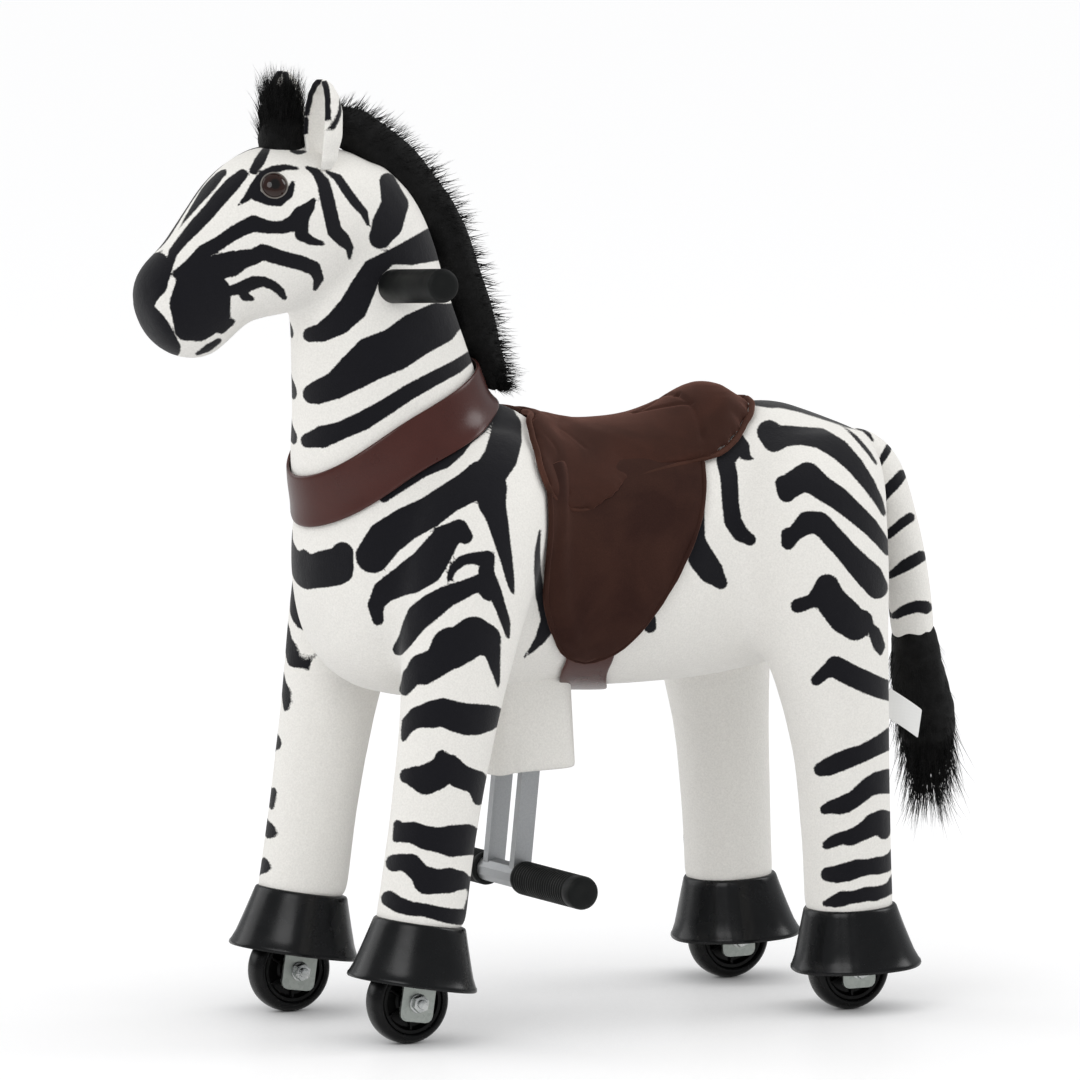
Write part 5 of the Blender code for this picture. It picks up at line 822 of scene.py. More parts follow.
for side, sign in (("left", 1), ("right", -1)):
    bends = smooth_rows([(12, 62, 0), (18, 58, 0), (24, 55, 0), (31, 50, 0), (38, 45, 0), (44, 41, 0)], 18)
    catch = wire([at(b, h, sign * (TRACK_HALF + 15.5 - 0.02 * b)) for b, h, _ in bends], 0.8,
        f"spring_catch_{side}", BRIGHT)
    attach(catch, f"fork_{side}")

# %% [markdown]
# ## Grips
# The four grips are rubber tubes pushed over the bars. The pedal grips have fine grooves round them, and the hand
# grips are smooth with a rounded end. A closed profile spun about the bar makes both.

# %% Grips
def grip_profile(length, radius, bore, grooves):
    outside = [(radius - 1.4, 0.0), (radius - 0.3, 0.8), (radius, 2.2)]
    if grooves:
        first, last = 5.0, length * 0.88
        pitch = (last - first) / grooves
        for k in range(grooves):
            start = first + k * pitch
            outside += [(radius, start), (radius - 0.75, start + pitch * 0.22),
                (radius - 0.75, start + pitch * 0.5), (radius, start + pitch * 0.72)]
    outside += [(radius, length - 3.0), (radius - 0.5, length - 1.2), (radius - 2.0, length),
        (radius - 5.0, length + 0.3), (2.2, length - 0.1), (0.0, length - 0.4)]
    return outside + [(0.0, length - 4.0), (bore, length - 4.0), (bore, 0.0)]


def grip(name, start, towards, length, radius, bore, grooves, body_name, replaced):
    profile = grip_profile(length, radius, bore, grooves)
    bm = turned(profile, 40)
    turn = Vector(towards).to_track_quat("Z", "Y").to_matrix().to_4x4()
    made = placed(bm, Matrix.Translation(start) @ turn, name, GRIP_RUBBER, 50)
    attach(made, body_name)
    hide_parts(replaced)
    return made


for side, sign in (("left", 1), ("right", -1)):
    grip(f"pedal_grip_rubber_{side}", at(147, 117, sign * 31), (sign, 0, 0), 103.5, 13.9, 10.7, 22, "hanger",
        f"pedal_grip_{side}")
    rise = math.tan(math.radians(6.6))
    start = at(14.2, 609 + 51.6 * rise, sign * 51.6)
    grip(f"hand_grip_rubber_{side}", start, (sign, 0, rise), 90.6, 13.9, 9.3, 0, "steering", f"hand_grip_{side}")

# %% [markdown]
# ## Axle ends
# Each axle is a bolt whose end carries a washer and a hexagonal nut on the outside of the fork. The washer's rim
# is stamped, and the nut's corners are chamfered, as those of a turned nut are.

# %% Washers and nuts
def hexagon_into(bm, across, thick, matrix):
    """A hexagonal nut about its own Z, in millimetres, with its corners turned off on the outer face."""
    radius = across / math.sqrt(3) / 1000
    made = bmesh.ops.create_cone(bm, cap_ends=True, segments=6, radius1=radius, radius2=radius, depth=thick / 1000,
        matrix=matrix)
    outward = (matrix.to_3x3() @ Vector((0, 0, 1))).normalized()
    middle = matrix.translation
    outer = [v for v in made["verts"] if (v.co - middle).dot(outward) > 0]
    rim = [e for e in {e for v in outer for e in v.link_edges} if all(v in outer for v in e.verts)]
    bmesh.ops.bevel(bm, geom=rim, offset=0.0008, segments=2, profile=0.6, affect="EDGES", material=-1)


for end, back in AXLES:
    for side, sign in (("left", 1), ("right", -1)):
        bm = bmesh.new()
        for face, outward in ((19.25, 1), (-19.25, -1)):
            turn = Matrix.Rotation(outward * math.pi / 2, 4, "Y")
            lay = Matrix.Translation(at(back, WHEEL_RADIUS, sign * TRACK_HALF + face)) @ turn
            rod_into(bm, 8.0, 1.5, lay @ Matrix.Translation((0, 0, 0.00075)), 40)
            hexagon_into(bm, 13.0, 5.0, lay @ Matrix.Translation((0, 0, 0.0040)) @ Matrix.Rotation(0.3, 4, "Z"))
            rod_into(bm, 3.9, 3.0 if outward > 0 else 1.2, lay @ Matrix.Translation((0, 0, 0.0075)), 24)
        hub = Matrix.Translation(at(back, WHEEL_RADIUS, sign * TRACK_HALF)) @ Matrix.Rotation(math.pi / 2, 4, "Y")
        rod_into(bm, 4.0, 38.4, hub, 24)
        bolt = placed(bm, Matrix.Identity(4), f"{end}_{side}_washer_and_nut", BRIGHT, 30)
        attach(bolt, f"fork_{side}" if end == "front" else "chassis")
        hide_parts(f"{end}_{side}_axle_bolt")
print("axle ends")

# %% Bare steel
FINISH_OF = (
    (("front_fork", "rear_fork"), ZINC), (("swing_bolt", "hanger_bolt", "link_bolt", "crank_bolt"), BRIGHT),
    (("pedal_hanger", "steering_column", "hanger_link", "chassis_frame", "front_frame", "tie_rod", "saddle_pan"),
     SILVER),
)
for parts, finish in FINISH_OF:
    for node_name in NODES:
        if any(part in node_name for part in parts):
            bare = bpy.data.objects[node_name]
            bare.data.materials.clear()
            bare.data.materials.append(finish)
print("metal finishes set")

# %% [markdown]
# ## Saddle
# The saddle is a sewn cover of brown suede cloth over foam: a large flap on each side, and over them a padded
# seat that ends in a rolled cantle. All of it lies on the barrel, so each piece starts as a grid whose points are
# dropped onto the plush from outside. The seat is then blown up by cloth pressure, and the grooves of its seams
# are pressed in afterwards, because the remesh before the cloth run would erase them.

# %% Dropping points onto the plush
from mathutils.bvhtree import BVHTree


def surface_of(*pieces):
    trees = []
    for piece in pieces:
        bm = bmesh.new()
        bm.from_mesh(piece.data)
        trees.append(BVHTree.FromBMesh(bm))
        bm.free()
    return trees


def dropped(trees, origin, aim, lift):
    """The outermost surface point met on the way from origin to aim, lifted off it. All in metres."""
    heading = (aim - origin).normalized()
    hits = [tree.ray_cast(origin, heading) for tree in trees]
    hits = [hit for hit in hits if hit[0] is not None]
    if not hits:
        return aim.copy()
    point, normal = min(hits, key=lambda hit: hit[3])[:2]
    return point + normal * lift


def on_side(back, height, sign, lift):
    return dropped(BARREL_SKIN, at(back, height, sign * 300), at(back, height, 0), lift / 1000)


def on_wrap(back, turn, lift, trees=None, middle=400):
    """The skin point at an angle from straight up, in degrees, about a line along the trunk."""
    spread = math.radians(turn)
    middle = at(back, middle)
    out = Vector((math.sin(spread), 0, math.cos(spread)))
    return dropped(trees or BARREL_SKIN, middle + out * 0.35, middle, lift / 1000)


def between(table, place):
    """Reads a value from (place, value) pairs, smoothly."""
    if place <= table[0][0]:
        return table[0][1]
    for (a, x), (b, y) in zip(table, table[1:]):
        if place <= b:
            t = (place - a) / (b - a)
            return x + (y - x) * t * t * (3 - 2 * t)
    return table[-1][1]


BARREL_SKIN = surface_of(body)


def sheet_grid(across, down, place_of):
    """A flat grid whose points are moved by place_of(share across, share down)."""
    bm = bmesh.new()
    bmesh.ops.create_grid(bm, x_segments=across, y_segments=down, size=0.5)
    for vert in bm.verts:
        vert.co = place_of(vert.co.x + 0.5, vert.co.y + 0.5)
    bmesh.ops.remove_doubles(bm, verts=bm.verts, dist=0.0002)
    bmesh.ops.recalc_face_normals(bm, faces=bm.faces)
    return bm


def thick_sheet(bm, name, thickness, material, rounding=True):
    """Gives a sheet its thickness outwards and rounds its rim."""
    made = piece_from(bm, name)
    solid = made.modifiers.new("thickness", "SOLIDIFY")
    solid.thickness, solid.offset, solid.use_quality_normals = thickness / 1000, 1.0, True
    if rounding:
        finish = made.modifiers.new("rounding", "SUBSURF")
        finish.levels = finish.render_levels = 1
    settle(made)
    made.data.materials.append(material)
    return made


# %% [markdown]
# ## Leather finishes
# The saddle cloth is polyester suede, dark brown: fine fibres that lie in patches, lighter where they were
# stroked one way. The collar and girth are glossy red-brown PU leather with a shallow pebble grain of 1 mm.

# %% Suede cloth and PU leather
def suede(name, dark, light, patch_mm=38):
    made = new_material(name)
    tree = made.node_tree
    spot = node(tree, "ShaderNodeTexCoord").outputs["Object"]
    fibre = node(tree, "ShaderNodeTexNoise", {"Vector": spot, "Scale": 1000 / 1.1, "Detail": 3.0,
        "Roughness": 0.7}).outputs["Fac"]
    patch = node(tree, "ShaderNodeTexNoise", {"Vector": spot, "Scale": 1000 / patch_mm, "Detail": 3.0,
        "Distortion": 0.8}).outputs["Fac"]
    stroked = node(tree, "ShaderNodeMapRange", {"Value": patch, "From Min": 0.40, "From Max": 0.66}).outputs[0]
    fine = node(tree, "ShaderNodeMapRange", {"Value": fibre, "From Min": 0.3, "From Max": 0.7, "To Min": 0.84,
        "To Max": 1.08}).outputs[0]
    toned = node(tree, "ShaderNodeMix", {0: stroked, 6: linear(dark), 7: linear(light)},
        data_type="RGBA").outputs[2]
    toned = node(tree, "ShaderNodeMix", {0: 1.0, 6: toned, 7: fine}, data_type="RGBA",
        blend_type="MULTIPLY").outputs[2]
    relief = node(tree, "ShaderNodeBump", {"Height": fibre, "Strength": 0.4, "Distance": 0.0004}).outputs[0]
    skin = node(tree, "ShaderNodeBsdfPrincipled", {
        "Base Color": toned, "Roughness": 0.82, "Specular IOR Level": 0.12, "Sheen Weight": 0.42,
        "Sheen Roughness": 0.35, "Sheen Tint": linear("C98B7A"), "Normal": relief,
    })
    node(tree, "ShaderNodeOutputMaterial", {"Surface": skin.outputs[0]})
    return made


def pu_leather(name, dark, light, roughness=0.27):
    made = new_material(name)
    tree = made.node_tree
    spot = node(tree, "ShaderNodeTexCoord").outputs["Object"]
    pebble = node(tree, "ShaderNodeTexVoronoi", {"Vector": spot, "Scale": 1000 / 1.3},
        feature="SMOOTH_F1").outputs["Distance"]
    cloud = node(tree, "ShaderNodeTexNoise", {"Vector": spot, "Scale": 1000 / 30, "Detail": 3.0}).outputs["Fac"]
    toned = node(tree, "ShaderNodeMix", {0: cloud, 6: linear(dark), 7: linear(light)}, data_type="RGBA").outputs[2]
    gloss = node(tree, "ShaderNodeMapRange", {"Value": cloud, "To Min": roughness * 0.8,
        "To Max": roughness * 1.4}).outputs[0]
    relief = node(tree, "ShaderNodeBump", {"Height": pebble, "Strength": 0.25, "Distance": 0.0003}).outputs[0]
    skin = node(tree, "ShaderNodeBsdfPrincipled", {"Base Color": toned, "Roughness": gloss,
        "Specular IOR Level": 0.35, "Coat Weight": 0.12, "Coat Roughness": 0.18, "Normal": relief})
    node(tree, "ShaderNodeOutputMaterial", {"Surface": skin.outputs[0]})
    return made


SUEDE_SEAT = suede("brown_polyester_suede", "38211A", "442820", 70)
SUEDE_FLAP = suede("dark_brown_polyester_suede", "311C17", "3B241D", 70)
PIPING = suede("suede_piping", "402820", "4E3128")
RED_LEATHER = pu_leather("red_brown_pu_leather", "3E1B16", "4B221C")

# %% Saddle flaps
FLAP_FRONT = ((300, 176), (308, 158), (325, 143), (356, 129), (392, 125), (427, 127), (462, 132))
FLAP_REAR = ((300, 180), (305, 204), (322, 219), (339, 231), (361, 246), (384, 260), (409, 274), (434, 285),
    (462, 294))


def flap_point(across, down, sign):
    height = 462 - (462 - 301) * down ** 0.9
    front, rear = between(FLAP_FRONT, height), between(FLAP_REAR, height)
    back = front + (rear - front) * across
    roll = 3.0 * math.exp(-(((back - front - 15) / 8) ** 2)) * (1
        - down) + 2.0 * math.exp(-(((back - front - 15) / 7) ** 2))
    edge = min(back - front, rear - back, (height - 300) * 0.8)
    pad = 2.5 * (1 - math.exp(-max(edge, 0) / 9))
    crease = 0.8 * noise.noise(Vector((back / 34, height / 55, sign * 3.1)))
    return on_side(back, height, sign, 2.2 + roll + pad + crease)


for side, sign in (("left", 1), ("right", -1)):
    bm = sheet_grid(44, 44, lambda across, down: flap_point(across, down, sign))
    for face in bm.faces:
        face.normal_update()
    if sum(face.normal.x * sign for face in bm.faces) < 0:
        bmesh.ops.reverse_faces(bm, faces=bm.faces)
    flap = thick_sheet(bm, f"saddle_flap_cover_{side}", 2.4, SUEDE_FLAP)
    rim = [on_side(between(FLAP_FRONT, h), h, sign, 4.2) for h in range(456, 306, -6)]
    rim += [on_side(b, h, sign, 4.2) for b, h in ((160, 304), (168, 301), (178, 300), (188, 300.5), (198, 302))]
    rim += [on_side(between(FLAP_REAR, h), h, sign, 4.2) for h in range(306, 462, 6)]
    rim = [sum((rim[max(min(i + k, len(rim) - 1), 0)] for k in (-2, -1, 0, 1, 2)),
        Vector()) / 5 for i in range(len(rim))]
    hem = wire(rim, 2.3, f"saddle_flap_hem_{side}", SUEDE_FLAP, 4)
    for piece in (flap, hem):
        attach(piece, "chassis")
    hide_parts(f"saddle_flap_{side}")
print("flaps and hems")

# %% [markdown]
# ## Seat
# The seat wraps over the barrel: its sides dip in front to cover the tops of the flaps, and its back rises into
# the cantle. It is a closed pad, thin at its piped edge. Cloth with a little inner pressure rounds it, then the
# seam of the cantle and those of the two wings are pressed into it.

# %% Seat pad
SEAT_FRONT = ((0, 160), (14, 154), (30, 138), (45, 129), (57, 123), (66, 127), (72, 139), (75, 155), (76, 168))
SEAT_REAR = ((0, 371), (10, 368), (20, 359), (33, 341), (43, 325), (49, 309), (52.5, 292), (53, 262), (57, 226),
    (66, 208), (70, 199), (74, 183), (76, 173))
SEAT_TURN = 76


def seat_rise(back, turn, along):
    """How far the seat stands over the barrel, in millimetres."""
    cantle = 17 * math.exp(-(((back - 334) / 28) ** 2)) * math.exp(-((turn
        / 40) ** 2)) + 4 * math.exp(-(((back - 298) / 22) ** 2)) * math.exp(-((turn / 50) ** 2))
    wing = 1.0 * math.exp(-(((back - 160) / 26) ** 2)) * math.exp(-(((abs(turn) - 45) / 22) ** 2))
    seat = 4.0 + 1.0 * math.exp(-((turn / 24) ** 2))
    edge = min(along, 1 - along) * 2
    side = (SEAT_TURN - abs(turn)) / SEAT_TURN
    rim = min(1.0, edge * 5.0) ** 0.5 * min(1.0, side * 7.0) ** 0.5
    return 4.0 + (seat + cantle + wing) * rim


def seat_point(across, down, lift=None):
    turn = (down * 2 - 1) * SEAT_TURN
    turn = math.copysign(abs(turn / SEAT_TURN) ** 0.92 * SEAT_TURN, turn)
    front, rear = between(SEAT_FRONT, abs(turn)), between(SEAT_REAR, abs(turn))
    back = front + (rear - front) * across
    rise = seat_rise(back, turn, across) if lift is None else lift
    return on_wrap(back, turn, rise)


def closed_pad(across, down, top_of, bottom_of, name):
    """A pad between two grids that share a rim: the upper one is extruded and its far side laid on the lower."""
    bm = bmesh.new()
    bmesh.ops.create_grid(bm, x_segments=across, y_segments=down, size=0.5)
    upper = {vert: (vert.co.x + 0.5, vert.co.y + 0.5) for vert in bm.verts}
    grown = bmesh.ops.extrude_face_region(bm, geom=list(bm.faces), use_keep_orig=True)["geom"]
    lower = [vert for vert in grown if isinstance(vert, bmesh.types.BMVert)]
    for vert in lower:
        vert.co = bottom_of(vert.co.x + 0.5, vert.co.y + 0.5)
    for vert, (u, v) in upper.items():
        vert.co = top_of(u, v)
    bmesh.ops.remove_doubles(bm, verts=bm.verts, dist=0.0003)
    bmesh.ops.recalc_face_normals(bm, faces=bm.faces)
    return piece_from(bm, name)


def blown(piece, voxel, pressure, most_mm, frames=16, hold=None):
    """Blows a closed pad up as cloth, and keeps every point within a few millimetres of where it was."""
    remesh = piece.modifiers.new("even", "REMESH")
    remesh.mode, remesh.voxel_size = "VOXEL", voxel / 1000
    settle(piece)
    before = mesh_points(piece)[0]
    if hold is not None:
        group = piece.vertex_groups.new(name="hold")
        for index, weight in enumerate(hold(before)):
            if weight > 0:
                group.add([index], float(weight), "REPLACE")
    cloth = piece.modifiers.new("cloth", "CLOTH")
    settings = cloth.settings
    settings.quality, settings.mass = 6, 0.3
    settings.tension_stiffness = settings.compression_stiffness = 12
    settings.shear_stiffness, settings.bending_stiffness = 6, 0.8
    settings.use_pressure, settings.uniform_pressure_force = True, pressure
    settings.effector_weights.gravity = 0
    if hold is not None:
        settings.vertex_group_mass = "hold"
    cloth.point_cache.frame_start, cloth.point_cache.frame_end = 1, frames
    for frame_number in range(1, frames + 1):
        scene.frame_set(frame_number)
    settle(piece)
    after = mesh_points(piece)[0]
    moved = after - before
    length = np.linalg.norm(moved, axis=1, keepdims=True)
    moved *= np.minimum(1, (most_mm / 1000) / np.maximum(length, 1e-9))
    piece.data.vertices.foreach_set("co", (before + moved).astype(np.float32).ravel())
    piece.data.update()
    scene.frame_set(1)
    print(piece.name, "cloth moved at most", round(float(np.minimum(length, most_mm / 1000).max()) * 1000, 1), "mm")
    return piece


def finished(piece, material, soften=3):
    """Smooths a pad after the cloth run and subdivides it once."""
    smooth = piece.modifiers.new("soften", "SMOOTH")
    smooth.factor, smooth.iterations = 0.5, soften
    finer = piece.modifiers.new("finer", "SUBSURF")
    finer.levels = finer.render_levels = 1
    settle(piece)
    piece.data.materials.append(material)
    return piece


def press_seam(piece, path, width_mm, depth_mm):
    """Presses a groove into a piece along a line of points, with soft shoulders."""
    points, normals = mesh_points(piece)
    nearest = np.full(len(points), 1.0)
    for start, end in zip(path, path[1:]):
        start, run = np.array(start), np.array(end) - np.array(start)
        share = np.clip(((points - start) @ run) / max(run @ run, 1e-12), 0, 1)
        nearest = np.minimum(nearest, np.linalg.norm(points - start - share[:, None] * run, axis=1))
    depth = np.exp(-((nearest * 1000 / width_mm) ** 2)) * depth_mm / 1000
    points -= normals * depth[:, None]
    piece.data.vertices.foreach_set("co", points.astype(np.float32).ravel())
    piece.data.update()


seat = closed_pad(70, 90, seat_point, lambda u, v: seat_point(u, v, 1.2), "saddle_seat_cover")
blown(seat, 4.0, 3.0, 5.0)
finished(seat, SUEDE_SEAT)


def seat_line(rows, count=40):
    """A line on the seat from (back, turn, lift) rows, for both sides."""
    return [on_wrap(b, t, lift) for b, t, lift in smooth_rows(rows, count)]


for sign in (1, -1):
    press_seam(seat, seat_line([(292, 50 * sign, 6), (297, 42 * sign, 12), (303, 30 * sign, 18),
        (308, 16 * sign, 21), (309, 0, 22)]), 2.6, 2.4)
    press_seam(seat, seat_line([(309, 14 * sign, 21), (296, 9 * sign, 19), (280, 3 * sign, 16), (268, 0, 15)]), 2.4,
        1.6)
    press_seam(seat, seat_line([(140, 22 * sign, 8), (146, 34 * sign, 10), (150, 45 * sign, 11),
        (149, 55 * sign, 11), (150, 66 * sign, 8)]), 2.4, 1.9)
    press_seam(seat, seat_line([(172, 26 * sign, 12), (180, 34 * sign, 12), (186, 40 * sign, 11)]), 2.6, 1.2)

for side, sign in (("left", 1), ("right", -1)):
    turns = [t for t in range(0, 76, 2)] + [75.9]
    edge = [on_wrap(between(SEAT_FRONT, t), t * sign, 4.6) for t in turns]
    edge += [on_wrap(between(SEAT_REAR, t), t * sign, 4.6) for t in reversed(turns)]
    edge = [sum((edge[max(min(i + k, len(edge) - 1), 0)] for k in (-2, -1, 0, 1, 2)),
        Vector()) / 5 for i in range(len(edge))]
    cord = wire(edge, 2.5, f"saddle_seat_piping_{side}", PIPING, 4)
    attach(cord, "chassis")
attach(seat, "chassis")
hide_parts("saddle_seat")
print("seat:", len(seat.data.polygons), "faces")

# %% [markdown]
# ## Collar, girth and sleeve
# A wide band of glossy PU leather hides the joint where the neck turns in the body. The girth is a strap of the
# same leather under the belly. The sleeve is a short skirt of white plush that hides where the pedal frame goes
# into the belly. The collar is a ring and the girth a strip of cloth dropped onto the plush. The sleeve is a ring
# laid round the frame. Each is then given its thickness.

# %% Collar
NECK_SKIN = surface_of(body, head)
COLLAR_TILT = math.radians(26)
COLLAR_UP = Vector((0, -math.sin(COLLAR_TILT), math.cos(COLLAR_TILT)))
COLLAR_SIDE = Vector((1, 0, 0))
COLLAR_BACKWARD = COLLAR_UP.cross(COLLAR_SIDE)
COLLAR_MIDDLE = at(41, 479)


def collar_point(turn, share):
    """A point of the band: turn runs round the neck, share from its lower to its upper edge."""
    out = COLLAR_SIDE * math.cos(turn) + COLLAR_BACKWARD * math.sin(turn)
    behind = math.sin(turn)
    rise = share * 0.047 - 0.020 + 0.010 * math.cos(turn) ** 2
    middle = COLLAR_MIDDLE + COLLAR_UP * (rise + 0.005 * max(behind, 0) ** 2 - 0.005 * max(-behind, 0) ** 2)
    skin = dropped(NECK_SKIN, middle + out * 0.25, middle, 0)
    bulge = 1.8 + 1.4 * math.sin(math.pi * share) + 1.0 * share * max(behind, 0) ** 2
    return middle + out * ((skin - middle).length + bulge / 1000)


AROUND, ROWS = 96, 9
bm = bmesh.new()
ring = bmesh.ops.create_circle(bm, cap_ends=False, segments=AROUND, radius=1.0)["verts"]
turns = {vert: math.atan2(vert.co.y, vert.co.x) for vert in ring}
edges = list({edge for vert in ring for edge in vert.link_edges})
for row in range(ROWS):
    if row:
        grown = bmesh.ops.extrude_edge_only(bm, edges=edges)["geom"]
        edges = [item for item in grown if isinstance(item, bmesh.types.BMEdge)]
        ring = [item for item in grown if isinstance(item, bmesh.types.BMVert)]
        reach = {vert: vert.co - COLLAR_MIDDLE for vert in ring}
        turns = {vert: math.atan2(out.dot(COLLAR_BACKWARD), out.dot(COLLAR_SIDE)) for vert, out in reach.items()}
    for vert in ring:
        vert.co = collar_point(turns[vert], row / (ROWS - 1))
for _ in range(4):
    bmesh.ops.smooth_vert(bm, verts=bm.verts, factor=0.5, use_axis_x=True, use_axis_y=True, use_axis_z=True)
bmesh.ops.recalc_face_normals(bm, faces=bm.faces)
if sum((face.calc_center_median() - COLLAR_MIDDLE).dot(face.normal) for face in bm.faces) < 0:
    bmesh.ops.reverse_faces(bm, faces=bm.faces)
collar = thick_sheet(bm, "neck_collar_band", 2.4, RED_LEATHER)
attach(collar, "front_frame")
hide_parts("neck_collar")
print("collar")

# %% Girth


def girth_point(across, down):
    turn = 118 + down * 124
    slant = between(((118, 178), (142, 184), (180, 212), (218, 184), (242, 178)), turn)
    return on_wrap(slant + (across - 0.5) * 44, turn, 2.2, middle=385)


bm = sheet_grid(12, 70, girth_point)
if sum((face.calc_center_median() - at(190, 385)).dot(face.normal) for face in bm.faces) < 0:
    bmesh.ops.reverse_faces(bm, faces=bm.faces)
girth = thick_sheet(bm, "girth_band", 2.2, RED_LEATHER)
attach(girth, "chassis")
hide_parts("girth_strap")

# %% Sleeve
def sleeve_point(turn, share):
    """A rounded rectangle that flares and folds a little towards its hem. share runs down."""
    power = 0.35
    x = math.copysign(abs(math.cos(turn)) ** power, math.cos(turn))
    y = math.copysign(abs(math.sin(turn)) ** power, math.sin(turn))
    fold = 1 + 0.05 * share * math.sin(3 * turn + 0.8) + 0.03 * share * math.sin(7 * turn)
    wide, deep = (47 + 5 * share) * fold, (34 + 4 * share) * fold
    hem = 2.5 * math.sin(2 * turn + 0.4) * share
    return at(150 + deep * y, 292 - (292 - 207) * share + hem, wide * x)


bm = bmesh.new()
ring = bmesh.ops.create_circle(bm, cap_ends=False, segments=96, radius=1.0)["verts"]
around = {vert: math.atan2(vert.co.y, vert.co.x) for vert in ring}
order = sorted(ring, key=lambda vert: around[vert])
turn_of = [around[vert] for vert in order]
for vert, turn in zip(order, turn_of):
    vert.co = sleeve_point(turn, 0)
edges = list({edge for vert in ring for edge in vert.link_edges})
for row in range(1, 19):
    grown = bmesh.ops.extrude_edge_only(bm, edges=edges)["geom"]
    edges = [item for item in grown if isinstance(item, bmesh.types.BMEdge)]
    near = {tuple(round(c, 6) for c in vert.co): vert for vert in grown if isinstance(vert, bmesh.types.BMVert)}
    for turn in turn_of:
        old = tuple(round(c, 6) for c in sleeve_point(turn, (row - 1) / 18))
        near[old].co = sleeve_point(turn, row / 18)
bmesh.ops.recalc_face_normals(bm, faces=bm.faces)
sleeve = thick_sheet(bm, "hanger_skirt", 3.0, PLUSH_WHITE)
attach(sleeve, "chassis")
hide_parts("hanger_sleeve")

# %% [markdown]
# ## Ears and eyes
# An ear is a small cup of plush, sewn from two leaves and turned inside out, so its rim is rounded. The eyes are
# glass-look plastic domes in a thin light grey rim. The grey is partly the plastic's clear edge and partly a painted
# glint where the lamps catch it. Their places on the head are read off the stencil plane, and a ray that runs square
# to that plane finds the skin there, so each eye sits in the plush and not over it.

# %% Ears
def off_stencil(along, up, side):
    """The point at a distance to the side whose place on the stencil plane is known. All in millimetres."""
    back = (along - 0.4726 * side) / 0.8813
    return at(back, (up - 0.062 * back + 0.115 * side) / 0.991, side)


EAR_WIDTHS = ((0.0, 9.0), (0.15, 13.5), (0.4, 17.0), (0.62, 17.0), (0.8, 14.5), (0.92, 10.0), (1.0, 3.5))
EAR_TALL = 0.072


def ear_cup(sign):
    """The grid's X runs across the cup, from the rim at its back to the one at its front, and its Y runs up."""
    foot = at(-39, 713, sign * 32)
    up = Vector((sign * 0.03, 0.0, 1.0)).normalized()
    opening = Vector((sign * 0.02, -1.0, 0.0))
    opening = (opening - up * opening.dot(up)).normalized()
    across_ear = up.cross(opening)
    bm = bmesh.new()
    bmesh.ops.create_grid(bm, x_segments=32, y_segments=32, size=0.5)
    layer = bm.verts.layers.float.new("stripe")
    for vert in bm.verts:
        across, height = vert.co.x * 2, vert.co.y + 0.5
        width = between(EAR_WIDTHS, height) / 1000
        inset = (1 - abs(across)) * width * 1500
        band = 3.4 + 0.7 * noise.noise(Vector((across * 3, height * 9, 0)))
        rim = max(inset - band, (0.58 - height) * 60)
        low_rim = max(inset - 2.2, (abs(height - 0.46) - 0.10) * 60) if across * sign < 0 else 9.0
        slash = abs((across * sign - 0.30) * 13 + (height - 0.80) * 22) - 1.5
        slash = max(slash, (abs(height - 0.63) - 0.16) * 60)
        away = min(rim, low_rim, slash)
        vert[layer] = min(max(0.5 + away / 20, 0.0), 1.0)
        bend = math.radians(112 - 12 * height) * across
        vert.co = foot + up * (height * EAR_TALL) + across_ear * (math.sin(bend)
            * width) - opening * (math.cos(bend) * width - 0.004)
    bmesh.ops.recalc_face_normals(bm, faces=bm.faces)
    ear = piece_from(bm, f"ear_cup_{'left' if sign > 0 else 'right'}")
    solid = ear.modifiers.new("thickness", "SOLIDIFY")
    solid.thickness, solid.offset = 0.0036, 0.0
    finish = ear.modifiers.new("rounding", "SUBSURF")
    finish.levels = finish.render_levels = 1
    settle(ear)
    ear.data.materials.append(PLUSH)
    return ear


for side, sign in (("left", 1), ("right", -1)):
    ear = ear_cup(sign)
    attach(ear, "steering")
    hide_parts(f"ear_{side}")

# %% Eyes
def eye_glass(name, inner, outer, inner_mm, outer_mm, roughness):
    """Clear plastic over a painted disc: rings of colour about the eye's own middle, with a hard gloss."""
    made = new_material(name)
    tree = made.node_tree
    away = node(tree, "ShaderNodeAttribute", attribute_name="ring").outputs["Fac"]
    spot = node(tree, "ShaderNodeTexCoord").outputs["Object"]
    fibre = node(tree, "ShaderNodeTexNoise", {"Vector": spot, "Scale": 1000 / 1.5, "Detail": 2.0}).outputs["Fac"]
    frayed = node(tree, "ShaderNodeMath", {0: fibre, 1: 0.16, 2: away}, operation="MULTIPLY_ADD").outputs[0]
    share = node(tree, "ShaderNodeMapRange", {"Value": frayed, "From Min": inner_mm,
        "From Max": outer_mm}).outputs[0]
    toned = node(tree, "ShaderNodeMix", {0: share, 6: linear(inner), 7: linear(outer)}, data_type="RGBA").outputs[2]
    skin = node(tree, "ShaderNodeBsdfPrincipled", {"Base Color": toned, "Roughness": roughness,
        "Specular IOR Level": 0.3, "Coat Weight": 0.3, "Coat Roughness": 0.02})
    node(tree, "ShaderNodeOutputMaterial", {"Surface": skin.outputs[0]})
    return made


